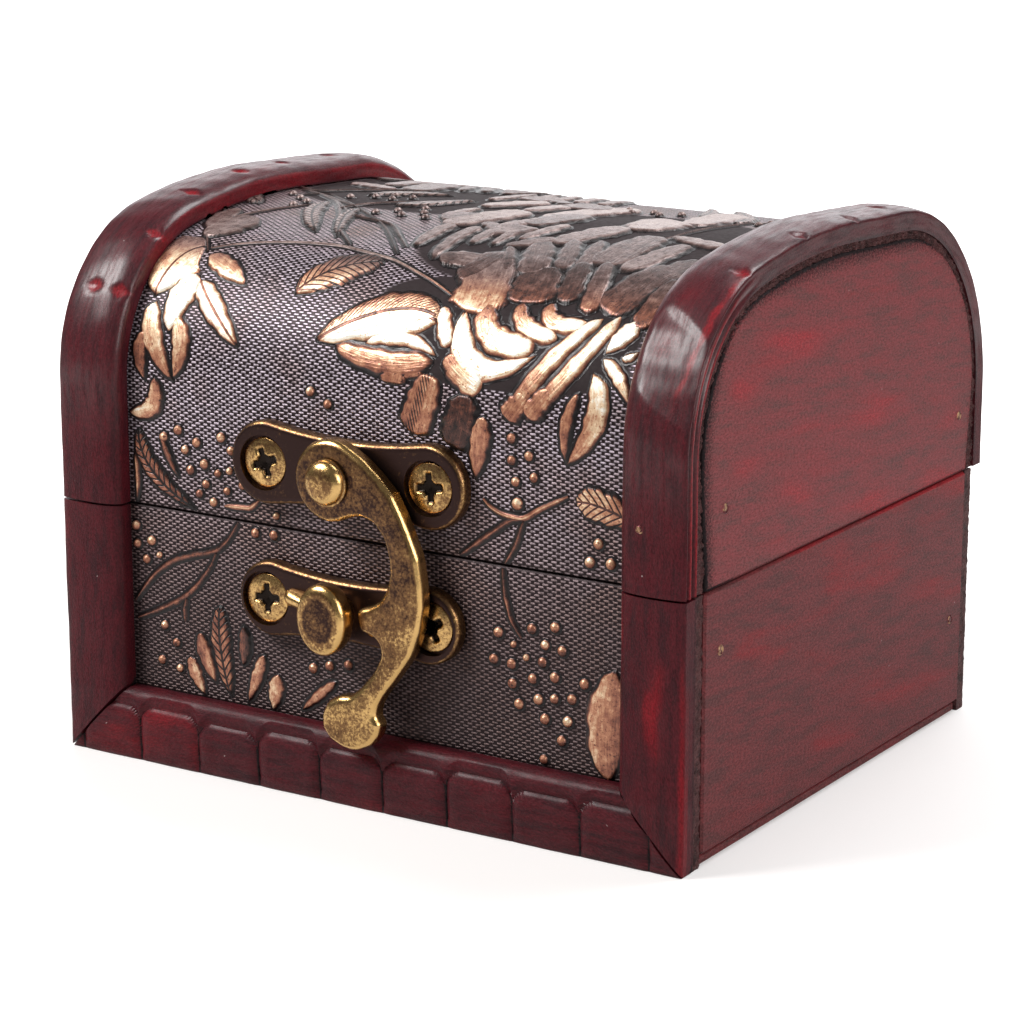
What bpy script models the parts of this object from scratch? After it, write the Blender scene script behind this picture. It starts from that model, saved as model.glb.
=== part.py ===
"""Small domed treasure-chest jewelry box with a curved lid, wooden strips and a swing-hook latch.

The box stands on its bottom board, front toward -Y, and its origin is the centre of the
box's footprint on the table. Wall pieces are boards, the lid's skin, leather and strips follow one
rounded outline, and the latch and hinge pieces are flat castings, turned pins and pressed leaves.
"""
import math

import bmesh
import bpy

# Walls of the box, all lengths in metres
BOX_WIDTH = 0.0800
CARCASS_DEPTH = 0.0617
BASE_HEIGHT = 0.0291
WALL = 0.0040
BOTTOM_THICKNESS = 0.0012
SEAM_GAP = 0.00025
FIT_GAP = 0.0002
EASED_EDGE = 0.00025
FOOT_INSET = 0.0005
LEATHER_LIFT = 0.0005

# Domed outline of the lid's end walls, heights above the seam
FRONT_SHOULDER_HEIGHT = 0.0296
CROWN_HEIGHT = 0.0301
BACK_SHOULDER_HEIGHT = 0.0272
CROWN_FORWARD = 0.0040
FRONT_CORNER_RADIUS = 0.0140
CROWN_RADIUS = 0.0600
BACK_CORNER_RADIUS = 0.0135
RAIL_HEIGHT = 0.0140
CORNER_STEPS = 12
CROWN_STEPS = 4

# Thin facing boards and the embossed leather glued on them
FACING_THICKNESS = 0.0009
FACING_END_INSET = 0.0003
LEATHER_THICKNESS = 0.0004
LEATHER_END_INSET = 0.0007

# Half-round strips
STRIP_WIDTH = 0.0079
STRIP_THICKNESS = 0.0026
STRIP_SIDE = 0.0011
STRIP_ROUNDNESS = 2.4
STRIP_STEPS = 9
FOOT_STRIP_HEIGHT = 0.0082
FOOT_STRIP_TOP_SIDE = 0.0006
SCALLOP_COUNT = 9
SCALLOP_PITCH_SHARE = 1.155
SCALLOP_CENTRE_SHARE = -0.119
SCALLOP_HEIGHT = 0.0062
SCALLOP_ARCH = 0.0009
SCALLOP_CUT = 0.00030
SCALLOP_GROOVE = 0.00055
SCALLOP_ROUNDNESS = 0.6
SCALLOP_STATION_SHARES = (0.0, 0.08, 0.25, 0.5, 0.75, 0.92)

# Latch plates on the lid and the base
LATCH_CENTRE_X = -0.00185
LATCH_PLATE_RISE = 0.00725
KEEPER_PLATE_DROP = 0.00785
PLATE_THICKNESS = 0.0015
PLATE_BEVEL = 0.0008
LATCH_LOBE_SPACING = 0.0209
LATCH_LOBE_RADIUS = 0.0046
LATCH_WAIST_HALF = 0.0037
KEEPER_LOBE_SPACING = 0.0202
KEEPER_LOBE_RADIUS = 0.0042
KEEPER_WAIST_HALF = 0.0033
PLATE_SCREW_SPACING = 0.0213
PLATE_STEPS = 12

# Brass screws of the plates
SCREW_HEAD_RADIUS = 0.0024
SCREW_HEAD_DOME = 0.00035
SCREW_FLAT_SHARE = 0.55
SCREW_FLAT_RISE_SHARE = 0.75
SCREW_HEAD_CONE = 0.0009
SCREW_SHANK_RADIUS = 0.0010
SCREW_LENGTH = 0.0055
SCREW_TIP = 0.0012
SCREW_CLEARANCE = 0.0002

# Swing hook, its rivet and the keeper's knob
PIVOT_X = -0.00236
PIVOT_RISE = 0.00695
HOOK_REACH = 0.0264
HOOK_EYE_RADIUS = 0.0045
HOOK_THICKNESS = 0.0018
HOOK_BEVEL = 0.00035
HOOK_TAIL_LIFT = 0.0009
HOOK_TAIL_LENGTH = 0.0120
RIVET_SHANK_RADIUS = 0.0013
RIVET_CLEARANCE = 0.0002
RIVET_DOME_RADIUS = 0.0026
RIVET_DOME_HEIGHT = 0.0015
KNOB_X = -0.00245
KNOB_WIDTH = 0.0062
KNOB_HEIGHT = 0.0078
KNOB_THICKNESS = 0.0026
KNOB_ROUNDING = 0.0008
KNOB_ROUNDING_STEPS = 3
KNOB_STAND_OFF = 0.0019
KNOB_NECK_SHARE = 0.55
RIB_LENGTH = 0.0042
RIB_RISE = 0.0008
RIB_RADIUS = 0.0010
RIB_STATION_SHARES = (0.02, 0.15, 0.45, 1.0, 3.0, 6.0)

# Butt hinges on the back
HINGE_SPACING = 0.0360
HINGE_WIDTH = 0.0120
HINGE_LEAF_HEIGHT = 0.0085
HINGE_LEAF_THICKNESS = 0.0005
KNUCKLE_RADIUS = 0.00095
KNUCKLE_GAP = 0.0003
KNUCKLE_COUNT = 3
HINGE_PIN_RADIUS = 0.00045
PIN_CLEARANCE = 0.00015
PIN_HEAD_RADIUS = 0.0007
PIN_HEAD_LENGTH = 0.0004
HINGE_SCREW_SPACING = 0.0070
HINGE_SCREW_DROP = 0.0050
HINGE_SCREW_HEAD_RADIUS = 0.0010
HINGE_SCREW_HEAD_HEIGHT = 0.0004
HINGE_SCREW_SHANK_RADIUS = 0.0005
HINGE_SCREW_LENGTH = 0.0035
HINGE_SCREW_FLAT_SHARE = 0.6
HINGE_SCREW_FLAT_RISE_SHARE = 0.85

# Counts for round pieces
TURNED_STEPS = 20
SMALL_TURNED_STEPS = 12
RIVET_STEPS = 4
CREASE_ANGLE = math.radians(35)
CUT_OVERRUN = 0.0010

# Outline of the hook beyond its eye, as shares of the pivot-to-end reach, inner edge first.
# Each pair is (across, down) from the pivot: the bow down to the tooth, the notch and tail under
# it, the flared round end, and the long outer edge back up to the eye.
HOOK_BOW_SHARES = (
    (0.076, 0.138), (0.155, 0.119), (0.212, 0.143), (0.259, 0.202), (0.282, 0.281),
    (0.286, 0.338), (0.271, 0.406), (0.236, 0.461), (0.188, 0.493), (0.138, 0.510),
)
HOOK_TAIL_SHARES = (
    (0.140, 0.541), (0.225, 0.587), (0.248, 0.633), (0.243, 0.684), (0.213, 0.747),
    (0.153, 0.825), (0.108, 0.872),
)
HOOK_END_SHARES = (
    (0.052, 0.878), (-0.004, 0.909), (-0.031, 0.965), (-0.029, 1.022), (0.008, 1.068),
    (0.069, 1.093), (0.140, 1.095), (0.204, 1.065), (0.243, 1.018), (0.257, 0.968), (0.232, 0.937),
)
HOOK_OUTER_SHARES = (
    (0.238, 0.894), (0.262, 0.848), (0.319, 0.772), (0.388, 0.669), (0.422, 0.572),
    (0.442, 0.462), (0.438, 0.372), (0.421, 0.261), (0.384, 0.176), (0.347, 0.100),
    (0.300, 0.017), (0.234, -0.047), (0.160, -0.106), (0.095, -0.142),
)
HOOK_EYE_START = math.radians(80)
HOOK_EYE_END = math.radians(275)
HOOK_EYE_STEPS = 14

# Sizes worked out from the ones above
HALF_WIDTH = BOX_WIDTH / 2
HALF_DEPTH = CARCASS_DEPTH / 2
INNER_HALF_WIDTH = HALF_WIDTH - WALL - FIT_GAP
SEAM_Z = BASE_HEIGHT + SEAM_GAP
LATCH_PLATE_Z = SEAM_Z + LATCH_PLATE_RISE
KEEPER_PLATE_Z = SEAM_Z - KEEPER_PLATE_DROP
PIVOT_Z = SEAM_Z + PIVOT_RISE
FACING_IN = FIT_GAP
FACING_OUT = FACING_IN + FACING_THICKNESS
LEATHER_IN = FACING_OUT + FIT_GAP
LEATHER_OUT = LEATHER_IN + LEATHER_THICKNESS
STRIP_IN = LEATHER_OUT + FIT_GAP
SCALLOP_PITCH = SCALLOP_PITCH_SHARE * (BOX_WIDTH - 2 * STRIP_WIDTH) / SCALLOP_COUNT
STRIP_OUT = STRIP_IN + STRIP_THICKNESS
LEATHER_FACE = HALF_DEPTH + LEATHER_OUT
PLATE_BACK = LEATHER_FACE + FIT_GAP
PLATE_FACE = PLATE_BACK + PLATE_THICKNESS
HOOK_BACK = PLATE_FACE + SCREW_HEAD_DOME + FIT_GAP
HOOK_FACE = HOOK_BACK + HOOK_THICKNESS
KNOB_BACK = PLATE_FACE + KNOB_STAND_OFF
KNOB_FACE = KNOB_BACK + KNOB_THICKNESS
HINGE_Y = LEATHER_FACE + FIT_GAP + KNUCKLE_RADIUS
HINGE_Z = BASE_HEIGHT + SEAM_GAP / 2
STRIP_BACK_Y = HALF_DEPTH + STRIP_OUT
FOOTPRINT_SHIFT = (max(KNOB_FACE, HOOK_FACE + HOOK_TAIL_LIFT) - STRIP_BACK_Y) / 2


def paint(name, colour, roughness, metallic):
    """A plain Principled material."""
    material = bpy.data.materials.new(name)
    material.use_nodes = True
    shader = material.node_tree.nodes["Principled BSDF"]
    shader.inputs["Base Color"].default_value = (*colour, 1.0)
    shader.inputs["Roughness"].default_value = roughness
    shader.inputs["Metallic"].default_value = metallic
    return material


def mesh_of(name, points, faces):
    """A mesh from points and faces, shaded smooth with sharp creases, its faces pointing out."""
    mesh = bpy.data.meshes.new(name)
    mesh.from_pydata([tuple(point) for point in points], [], faces)
    clean = bmesh.new()
    clean.from_mesh(mesh)
    bmesh.ops.recalc_face_normals(clean, faces=clean.faces)
    clean.to_mesh(mesh)
    clean.free()
    mesh.shade_smooth()
    mesh.set_sharp_from_angle(angle=CREASE_ANGLE)
    return mesh


def axis_empty(name, y, z, x, parent):
    """An empty on a joint's axis, which the pieces that turn there have as their parent."""
    empty = bpy.data.objects.new(name, None)
    bpy.context.scene.collection.objects.link(empty)
    empty["place"] = (x, y, z)
    empty.parent = parent
    held = parent["place"] if parent else (0.0, 0.0, 0.0)
    empty.location = (x - held[0], y - held[1], z - held[2])
    return empty


def place(name, mesh, material, parent):
    """Adds a piece whose mesh is drawn in the box's own frame, carried by a parent empty."""
    piece = bpy.data.objects.new(name, mesh)
    bpy.context.scene.collection.objects.link(piece)
    if material:
        mesh.materials.append(material)
    held = parent["place"]
    piece.parent = parent
    piece.location = (-held[0], -held[1], -held[2])
    return piece


def cutter(name, mesh, parent):
    """A shape that only cuts others."""
    shape = place(name, mesh, None, parent)
    shape.hide_render = True
    shape.display_type = "WIRE"
    return shape


def cut(piece, shape, operation="DIFFERENCE"):
    """An exact Boolean of one piece with a cutter."""
    modifier = piece.modifiers.new(shape.name, "BOOLEAN")
    modifier.solver = "EXACT"
    modifier.operation = operation
    modifier.object = shape


def even_shading(piece):
    """Keeps a piece's broad flat faces flat in shading beside its rounded edges."""
    weighted = piece.modifiers.new("even shading", "WEIGHTED_NORMAL")
    weighted.keep_sharp = True


def board(x_span, y_span, z_span, ease=EASED_EDGE):
    """A board with its edges eased by a small chamfer."""
    shape = bmesh.new()
    bmesh.ops.create_cube(shape, size=1.0)
    spans = (x_span, y_span, z_span)
    for vertex in shape.verts:
        for axis, (low, high) in enumerate(spans):
            vertex.co[axis] = low + (vertex.co[axis] + 0.5) * (high - low)
    if ease:
        bmesh.ops.bevel(shape, geom=shape.edges[:], offset=ease, segments=1, affect="EDGES")
    mesh = bpy.data.meshes.new("board")
    shape.to_mesh(mesh)
    shape.free()
    return mesh


def ring_faces(rings, steps, closed_along=False):
    """Quads between equal rings of points, with flat caps on the first and last ring."""
    faces = []
    for ring in range(rings - 1):
        low, high = ring * steps, (ring + 1) * steps
        for step in range(steps):
            after = (step + 1) % steps
            faces.append((low + step, low + after, high + after, high + step))
    if not closed_along:
        faces.append(tuple(range(steps)))
        faces.append(tuple(range((rings - 1) * steps, rings * steps)))
    return faces


def turned(profile, centre, steps=TURNED_STEPS, squash=1.0):
    """A turned piece whose axis points out of the front: profile of (radius, y) from pole to pole."""
    x, z = centre
    points = [(x, profile[0][1], z)]
    for radius, y in profile[1:-1]:
        for step in range(steps):
            angle = math.tau * step / steps
            points.append((x + radius * math.cos(angle), y, z + radius * squash * math.sin(angle)))
    points.append((x, profile[-1][1], z))
    rings = len(profile) - 2
    faces = []
    for ring in range(rings - 1):
        low, high = 1 + ring * steps, 1 + (ring + 1) * steps
        for step in range(steps):
            after = (step + 1) % steps
            faces.append((low + step, low + after, high + after, high + step))
    last = 1 + (rings - 1) * steps
    for step in range(steps):
        after = (step + 1) % steps
        faces.append((0, 1 + after, 1 + step))
        faces.append((len(points) - 1, last + step, last + after))
    return mesh_of("turned", points, faces)


def pins(centres, radius, y_span, steps=SMALL_TURNED_STEPS):
    """Plain round pins along Y, used as cutters for the holes of a row of fasteners."""
    points, faces = [], []
    for x, z in centres:
        first = len(points)
        for y in y_span:
            for step in range(steps):
                angle = math.tau * step / steps
                points.append((x + radius * math.cos(angle), y, z + radius * math.sin(angle)))
        faces += [tuple(first + corner for corner in face) for face in ring_faces(2, steps)]
    return mesh_of("pins", points, faces)


def extruded(outline, y_back, y_face, bevel, bevel_segments=2):
    """A flat casting: an (x, z) outline given thickness toward the viewer, its front edge bevelled."""
    shape = bmesh.new()
    ring = [shape.verts.new((x, y_back, z)) for x, z in outline]
    back = shape.faces.new(ring)
    grown = bmesh.ops.extrude_face_region(shape, geom=[back])["geom"]
    front = [item for item in grown if isinstance(item, bmesh.types.BMFace)]
    for vertex in {corner for face in front for corner in face.verts}:
        vertex.co.y = y_face
    edges = {edge for face in front for edge in face.edges}
    bmesh.ops.bevel(shape, geom=list(edges), offset=bevel, segments=bevel_segments,
                    profile=0.5, affect="EDGES", clamp_overlap=True)
    bmesh.ops.recalc_face_normals(shape, faces=shape.faces)
    mesh = bpy.data.meshes.new("casting")
    shape.to_mesh(mesh)
    shape.free()
    mesh.shade_smooth()
    mesh.set_sharp_from_angle(angle=CREASE_ANGLE)
    return mesh


def lid_outline():
    """The end walls' domed outline, front seam to back seam, as (y, z, outward y, outward z)."""
    corners = (
        (-HALF_DEPTH, SEAM_Z + FRONT_SHOULDER_HEIGHT, FRONT_CORNER_RADIUS, CORNER_STEPS),
        (-CROWN_FORWARD, SEAM_Z + CROWN_HEIGHT, CROWN_RADIUS, CROWN_STEPS),
        (HALF_DEPTH, SEAM_Z + BACK_SHOULDER_HEIGHT, BACK_CORNER_RADIUS, CORNER_STEPS),
    )
    path = [(-HALF_DEPTH, SEAM_Z, -1.0, 0.0)]
    for index, (y, z, radius, steps) in enumerate(corners):
        before = corners[index - 1][:2] if index else path[0][:2]
        after = corners[index + 1][:2] if index + 1 < len(corners) else (HALF_DEPTH, SEAM_Z)
        arrive = math.atan2(z - before[1], y - before[0])
        leave = math.atan2(after[1] - z, after[0] - y)
        turn = arrive - leave
        reach = radius * math.tan(turn / 2)
        start_y, start_z = y - reach * math.cos(arrive), z - reach * math.sin(arrive)
        centre_y = start_y + radius * math.sin(arrive)
        centre_z = start_z - radius * math.cos(arrive)
        for step in range(steps + 1):
            heading = arrive - turn * step / steps
            out_y, out_z = -math.sin(heading), math.cos(heading)
            path.append((centre_y + radius * out_y, centre_z + radius * out_z, out_y, out_z))
    path.append((HALF_DEPTH, SEAM_Z, 1.0, 0.0))
    return path


def bent_board(x_low, x_high, inner, outer):
    """A thin board or skin bent over the lid's outline, between two offsets from it."""
    points = []
    path = lid_outline()
    for y, z, out_y, out_z in path:
        for x, offset in ((x_low, inner), (x_high, inner), (x_high, outer), (x_low, outer)):
            points.append((x, y + out_y * offset, z + out_z * offset))
    return mesh_of("bent board", points, ring_faces(len(path), 4))


def strip_profile(width, sides):
    """Half-round section as (share across, height): straight sides under a rounded cap."""
    first_side, last_side = sides
    points = [(0.0, 0.0)]
    for step in range(STRIP_STEPS + 1):
        angle = math.pi * step / STRIP_STEPS
        swing = math.copysign(abs(math.cos(angle)) ** (2 / STRIP_ROUNDNESS), math.cos(angle))
        across = (1 - swing) / 2
        side = first_side + (last_side - first_side) * across
        rise = max(math.sin(angle), 0.0) ** (2 / STRIP_ROUNDNESS)
        points.append((across, side + (STRIP_THICKNESS - side) * rise))
    points.append((1.0, 0.0))
    return [(across * width, height) for across, height in points]


def lid_strip(side):
    """A half-round strip bent over the lid beside one end wall: side is -1 left or 1 right."""
    section = strip_profile(STRIP_WIDTH, (STRIP_SIDE, STRIP_SIDE))
    path = lid_outline()
    points = []
    for y, z, out_y, out_z in path:
        for across, height in section:
            offset = STRIP_IN + height
            points.append((side * (HALF_WIDTH - across), y + out_y * offset, z + out_z * offset))
    return mesh_of("lid strip", points, ring_faces(len(path), len(section)))


def mitre_height(inward):
    """Height of the mitre line at a distance in from the box's corner."""
    return FOOT_STRIP_HEIGHT * inward / STRIP_WIDTH


def corner_strip(side):
    """A half-round strip up the base's front corner, its foot cut to the mitre."""
    section = strip_profile(STRIP_WIDTH, (STRIP_SIDE, STRIP_SIDE))
    points = []
    for top in (False, True):
        for across, height in section:
            z = BASE_HEIGHT if top else mitre_height(across) + FIT_GAP
            points.append((side * (HALF_WIDTH - across), -HALF_DEPTH - STRIP_IN - height, z))
    return mesh_of("corner strip", points, ring_faces(2, len(section)))


def scallop_depth(x, z):
    """How deep the gouged scallops lie below the foot strip's round, loaf-shaped with arched tops."""
    share = (x / SCALLOP_PITCH - SCALLOP_CENTRE_SHARE + SCALLOP_COUNT / 2) % 1.0
    bulge = math.sin(math.pi * share)
    arch = SCALLOP_HEIGHT - SCALLOP_ARCH * (1 - bulge)
    if z > arch:
        return 0.0
    groove = SCALLOP_GROOVE * (1 - bulge ** SCALLOP_ROUNDNESS)
    return SCALLOP_CUT + groove


def foot_strip():
    """The half-round strip along the front's foot, mitred into the corner strips and scalloped."""
    section = strip_profile(FOOT_STRIP_HEIGHT, (STRIP_SIDE, FOOT_STRIP_TOP_SIDE))
    first = (SCALLOP_CENTRE_SHARE - SCALLOP_COUNT / 2) * SCALLOP_PITCH
    cuts = [first + SCALLOP_PITCH * (index + share) for index in range(SCALLOP_COUNT)
            for share in SCALLOP_STATION_SHARES]
    clear_of_mitres = HALF_WIDTH - STRIP_WIDTH - 2 * FIT_GAP
    stations = ["left", *(x for x in cuts if abs(x) < clear_of_mitres), "right"]
    points = []
    for station in stations:
        for z, height in section:
            end = HALF_WIDTH - z * STRIP_WIDTH / FOOT_STRIP_HEIGHT - FIT_GAP
            x = {"left": -end, "right": end}.get(station, station)
            depth = scallop_depth(x, z) if height else 0.0
            points.append((x, -HALF_DEPTH - STRIP_IN - height + depth, z))
    return mesh_of("foot strip", points, ring_faces(len(stations), len(section)))


def lobed_outline(spacing, radius, waist):
    """A plate outline of two round lobes joined by a shallow waist, clockwise from the right lobe."""
    reach = spacing / 2
    hollow = (reach ** 2 + waist ** 2 - radius ** 2) / (2 * (radius - waist))
    turn = math.atan2(waist + hollow, reach)
    outline = []
    for side in (1, -1):
        for step in range(PLATE_STEPS + 1):
            angle = (math.pi - turn) - 2 * (math.pi - turn) * step / PLATE_STEPS
            outline.append((side * (reach + radius * math.cos(angle)), side * radius * math.sin(angle)))
        for step in range(1, PLATE_STEPS // 2):
            share = step / (PLATE_STEPS // 2)
            angle = (math.pi / 2 - turn) * (1 - 2 * share)
            x, z = hollow * math.sin(angle), -(waist + hollow) + hollow * math.cos(angle)
            outline.append((side * x, side * z))
    return outline


def lobed_plate(centre_z, spacing, radius, waist):
    """A cast latch plate lying on the leather."""
    outline = [(LATCH_CENTRE_X + x, centre_z + z) for x, z in lobed_outline(spacing, radius, waist)]
    return extruded(outline, -PLATE_BACK, -PLATE_FACE, PLATE_BEVEL)


def countersunk(clearance, y_tip):
    """Half-section of a countersunk screw head and shank seated in a plate, grown by a clearance."""
    shank = SCREW_SHANK_RADIUS + clearance
    head = SCREW_HEAD_RADIUS + clearance
    shoulder = -PLATE_FACE + SCREW_HEAD_CONE
    return [(head, -PLATE_FACE), (shank, shoulder), (shank, y_tip)]


def plate_screw(x, z):
    """A countersunk brass screw holding a latch plate."""
    tip = -PLATE_BACK + SCREW_LENGTH
    flat = (SCREW_HEAD_RADIUS * SCREW_FLAT_SHARE, -PLATE_FACE - SCREW_HEAD_DOME * SCREW_FLAT_RISE_SHARE)
    head, neck, end = countersunk(0.0, tip - SCREW_TIP)
    profile = [(0.0, -PLATE_FACE - SCREW_HEAD_DOME), flat, head, neck, end, (0.0, tip)]
    return turned(profile, (x, z))


def screw_hole(x, z):
    """The cutter for one countersunk hole through a latch plate."""
    head, neck, end = countersunk(SCREW_CLEARANCE, -PLATE_BACK + CUT_OVERRUN)
    profile = [(0.0, -PLATE_FACE - CUT_OVERRUN), (head[0], -PLATE_FACE - CUT_OVERRUN), head, neck, end]
    profile.append((0.0, end[1]))
    return turned(profile, (x, z))


def smooth_run(points, steps=2):
    """Points along a smooth curve that passes through the given ones."""
    run = []
    for index in range(len(points) - 1):
        before = points[max(index - 1, 0)]
        here, there = points[index], points[index + 1]
        after = points[min(index + 2, len(points) - 1)]
        for step in range(steps):
            t = step / steps
            run.append(tuple(
                0.5 * (2 * b + (c - a) * t + (2 * a - 5 * b + 4 * c - d) * t ** 2
                       + (3 * b - a - 3 * c + d) * t ** 3)
                for a, b, c, d in zip(before, here, there, after)))
    run.append(points[-1])
    return run


def hook_mesh():
    """The crescent hook: a round eye, an inner bow with its tooth, and a flared round end."""
    eye = []
    for step in range(HOOK_EYE_STEPS + 1):
        angle = HOOK_EYE_START + (HOOK_EYE_END - HOOK_EYE_START) * step / HOOK_EYE_STEPS
        eye.append((HOOK_EYE_RADIUS * math.cos(angle), HOOK_EYE_RADIUS * math.sin(angle)))
    edge = []
    for run in (HOOK_BOW_SHARES, HOOK_TAIL_SHARES, HOOK_END_SHARES, HOOK_OUTER_SHARES):
        edge += [(across * HOOK_REACH, -down * HOOK_REACH) for across, down in smooth_run(run)]
    outline = [(PIVOT_X + x, PIVOT_Z + z) for x, z in eye + edge]
    mesh = extruded(outline, -HOOK_BACK, -HOOK_FACE, HOOK_BEVEL)
    tail_top = PIVOT_Z - HOOK_REACH * HOOK_TAIL_SHARES[0][1]
    for vertex in mesh.vertices:
        share = min(max((tail_top - vertex.co.z) / HOOK_TAIL_LENGTH, 0.0), 1.0)
        vertex.co.y -= HOOK_TAIL_LIFT * share * share * (3 - 2 * share)
    return mesh


def knob_mesh():
    """The keeper's oval knob on its neck, riveted in the lower plate."""
    half = KNOB_WIDTH / 2
    neck = half * KNOB_NECK_SHARE
    rounding = KNOB_ROUNDING
    profile = [(0.0, -KNOB_FACE), (half - rounding * 2, -KNOB_FACE)]
    for step in range(KNOB_ROUNDING_STEPS + 1):
        angle = math.pi / 2 * (1 - step / KNOB_ROUNDING_STEPS)
        profile.append((half - rounding + rounding * math.cos(angle),
                        -KNOB_FACE + rounding - rounding * math.sin(angle)))
    profile += [(half, -KNOB_BACK - rounding / 2), (half - rounding / 2, -KNOB_BACK),
                (neck, -KNOB_BACK), (neck, -PLATE_FACE - FIT_GAP), (0.0, -PLATE_FACE - FIT_GAP)]
    return turned(profile, (KNOB_X, KEEPER_PLATE_Z), squash=KNOB_HEIGHT / KNOB_WIDTH)


def rib_mesh():
    """The rounded rib that runs from the plate up to the back of the knob."""
    points = []
    start_x = KNOB_X - KNOB_WIDTH / 2 - RIB_LENGTH
    run = KNOB_X - start_x
    rest = PLATE_FACE + FIT_GAP
    places = [share * RIB_RADIUS for share in RIB_STATION_SHARES] + [run]
    for along in places:
        swell = math.sqrt(1 - (1 - min(along / RIB_RADIUS, 1.0)) ** 2)
        height = RIB_RADIUS * swell + (KNOB_BACK - rest) * along / run
        z = KEEPER_PLATE_Z + RIB_RISE * (1 - along / run)
        section = [(-swell, rest), (-swell, rest + height / 2), (-swell / 2, rest + height),
                   (swell / 2, rest + height), (swell, rest + height / 2), (swell, rest)]
        points += [(start_x + along, -y, z + across * RIB_RADIUS) for across, y in section]
    return mesh_of("rib", points, ring_faces(len(places), 6))


def rod(x_low, x_high, radius, steps=SMALL_TURNED_STEPS):
    """A plain round rod along the hinge axis."""
    points = []
    for x in (x_low, x_high):
        for step in range(steps):
            angle = math.tau * (step + 0.5) / steps
            points.append((x, HINGE_Y + radius * math.cos(angle), HINGE_Z + radius * math.sin(angle)))
    return mesh_of("rod", points, ring_faces(2, steps))


def knuckle_spans(centre_x, ours):
    """Where a leaf's own knuckles run along X, or where the other leaf's do."""
    pitch = HINGE_WIDTH / KNUCKLE_COUNT
    low = centre_x - HINGE_WIDTH / 2
    return [(low + pitch * index, low + pitch * (index + 1))
            for index in range(KNUCKLE_COUNT) if (index % 2 == 0) == ours]


def hinge_leaf(name, centre_x, up, material, parent):
    """A pressed leaf with rolled knuckles: up is True on the lid and False on the base."""
    y_low = LEATHER_FACE + FIT_GAP
    y_high = y_low + HINGE_LEAF_THICKNESS
    reach = HINGE_LEAF_HEIGHT if up else -HINGE_LEAF_HEIGHT
    z_span = sorted((HINGE_Z, HINGE_Z + reach))
    half = HINGE_WIDTH / 2
    leaf = place(name, board((centre_x - half, centre_x + half), (y_low, y_high), z_span, 0.0),
                 material, parent)
    outer_first = not up
    for index, (low, high) in enumerate(knuckle_spans(centre_x, not outer_first)):
        clear = KNUCKLE_RADIUS + KNUCKLE_GAP
        room = board((low - KNUCKLE_GAP / 2, high + KNUCKLE_GAP / 2),
                     (y_low - CUT_OVERRUN, y_high + CUT_OVERRUN), (HINGE_Z - clear, HINGE_Z + clear), 0.0)
        cut(leaf, cutter(f"{name}_room_{index}", room, parent))
    for index, (low, high) in enumerate(knuckle_spans(centre_x, outer_first)):
        knuckle = rod(low + KNUCKLE_GAP / 2, high - KNUCKLE_GAP / 2, KNUCKLE_RADIUS)
        cut(leaf, cutter(f"{name}_knuckle_{index}", knuckle, parent), "UNION")
    bore = rod(centre_x - half - CUT_OVERRUN, centre_x + half + CUT_OVERRUN, HINGE_PIN_RADIUS + PIN_CLEARANCE)
    cut(leaf, cutter(f"{name}_bore", bore, parent))
    holes = pins(hinge_screw_places(centre_x, up), HINGE_SCREW_SHANK_RADIUS + SCREW_CLEARANCE,
                 (y_low - CUT_OVERRUN, y_high + CUT_OVERRUN))
    cut(leaf, cutter(f"{name}_holes", holes, parent))
    return leaf


def hinge_screw_places(centre_x, up):
    """Centres of the two screws of a leaf."""
    z = HINGE_Z + (HINGE_SCREW_DROP if up else -HINGE_SCREW_DROP)
    return [(centre_x - HINGE_SCREW_SPACING / 2, z), (centre_x + HINGE_SCREW_SPACING / 2, z)]


def hinge_screw(x, z):
    """A small round-headed brass screw driven from the back."""
    seat = LEATHER_FACE + FIT_GAP + HINGE_LEAF_THICKNESS + FIT_GAP
    tip = seat - HINGE_SCREW_LENGTH
    head, shank = HINGE_SCREW_HEAD_RADIUS, HINGE_SCREW_SHANK_RADIUS
    rise = HINGE_SCREW_HEAD_HEIGHT
    flat = (head * HINGE_SCREW_FLAT_SHARE, seat + rise * HINGE_SCREW_FLAT_RISE_SHARE)
    profile = [(0.0, seat + rise), flat, (head, seat), (shank, seat), (shank, tip + shank * 2), (0.0, tip)]
    return turned(profile, (x, z), steps=SMALL_TURNED_STEPS)


def hinge_pin(centre_x):
    """The pin through the knuckles, with a small head at each end."""
    half = HINGE_WIDTH / 2 + FIT_GAP
    stations = ((-half - PIN_HEAD_LENGTH, PIN_HEAD_RADIUS), (-half, PIN_HEAD_RADIUS),
                (-half, HINGE_PIN_RADIUS), (half, HINGE_PIN_RADIUS),
                (half, PIN_HEAD_RADIUS), (half + PIN_HEAD_LENGTH, PIN_HEAD_RADIUS))
    points = []
    for along, radius in stations:
        for step in range(SMALL_TURNED_STEPS):
            angle = math.tau * (step + 0.5) / SMALL_TURNED_STEPS
            points.append((centre_x + along, HINGE_Y + radius * math.cos(angle),
                           HINGE_Z + radius * math.sin(angle)))
    return mesh_of("hinge pin", points, ring_faces(len(stations), SMALL_TURNED_STEPS))


# Clear the scene, then the carriers: the base stands still, the lid turns on its hinges and the
# hook turns on its rivet
for old in list(bpy.data.objects):
    bpy.data.objects.remove(old)
carcass = axis_empty("box_frame", 0.0, 0.0, 0.0, None)
carcass.location.y = FOOTPRINT_SHIFT
lid_axis = axis_empty("lid_axis", HINGE_Y, HINGE_Z, 0.0, carcass)
hook_axis = axis_empty("hook_axis", -HOOK_BACK, PIVOT_Z, PIVOT_X, lid_axis)

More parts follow.
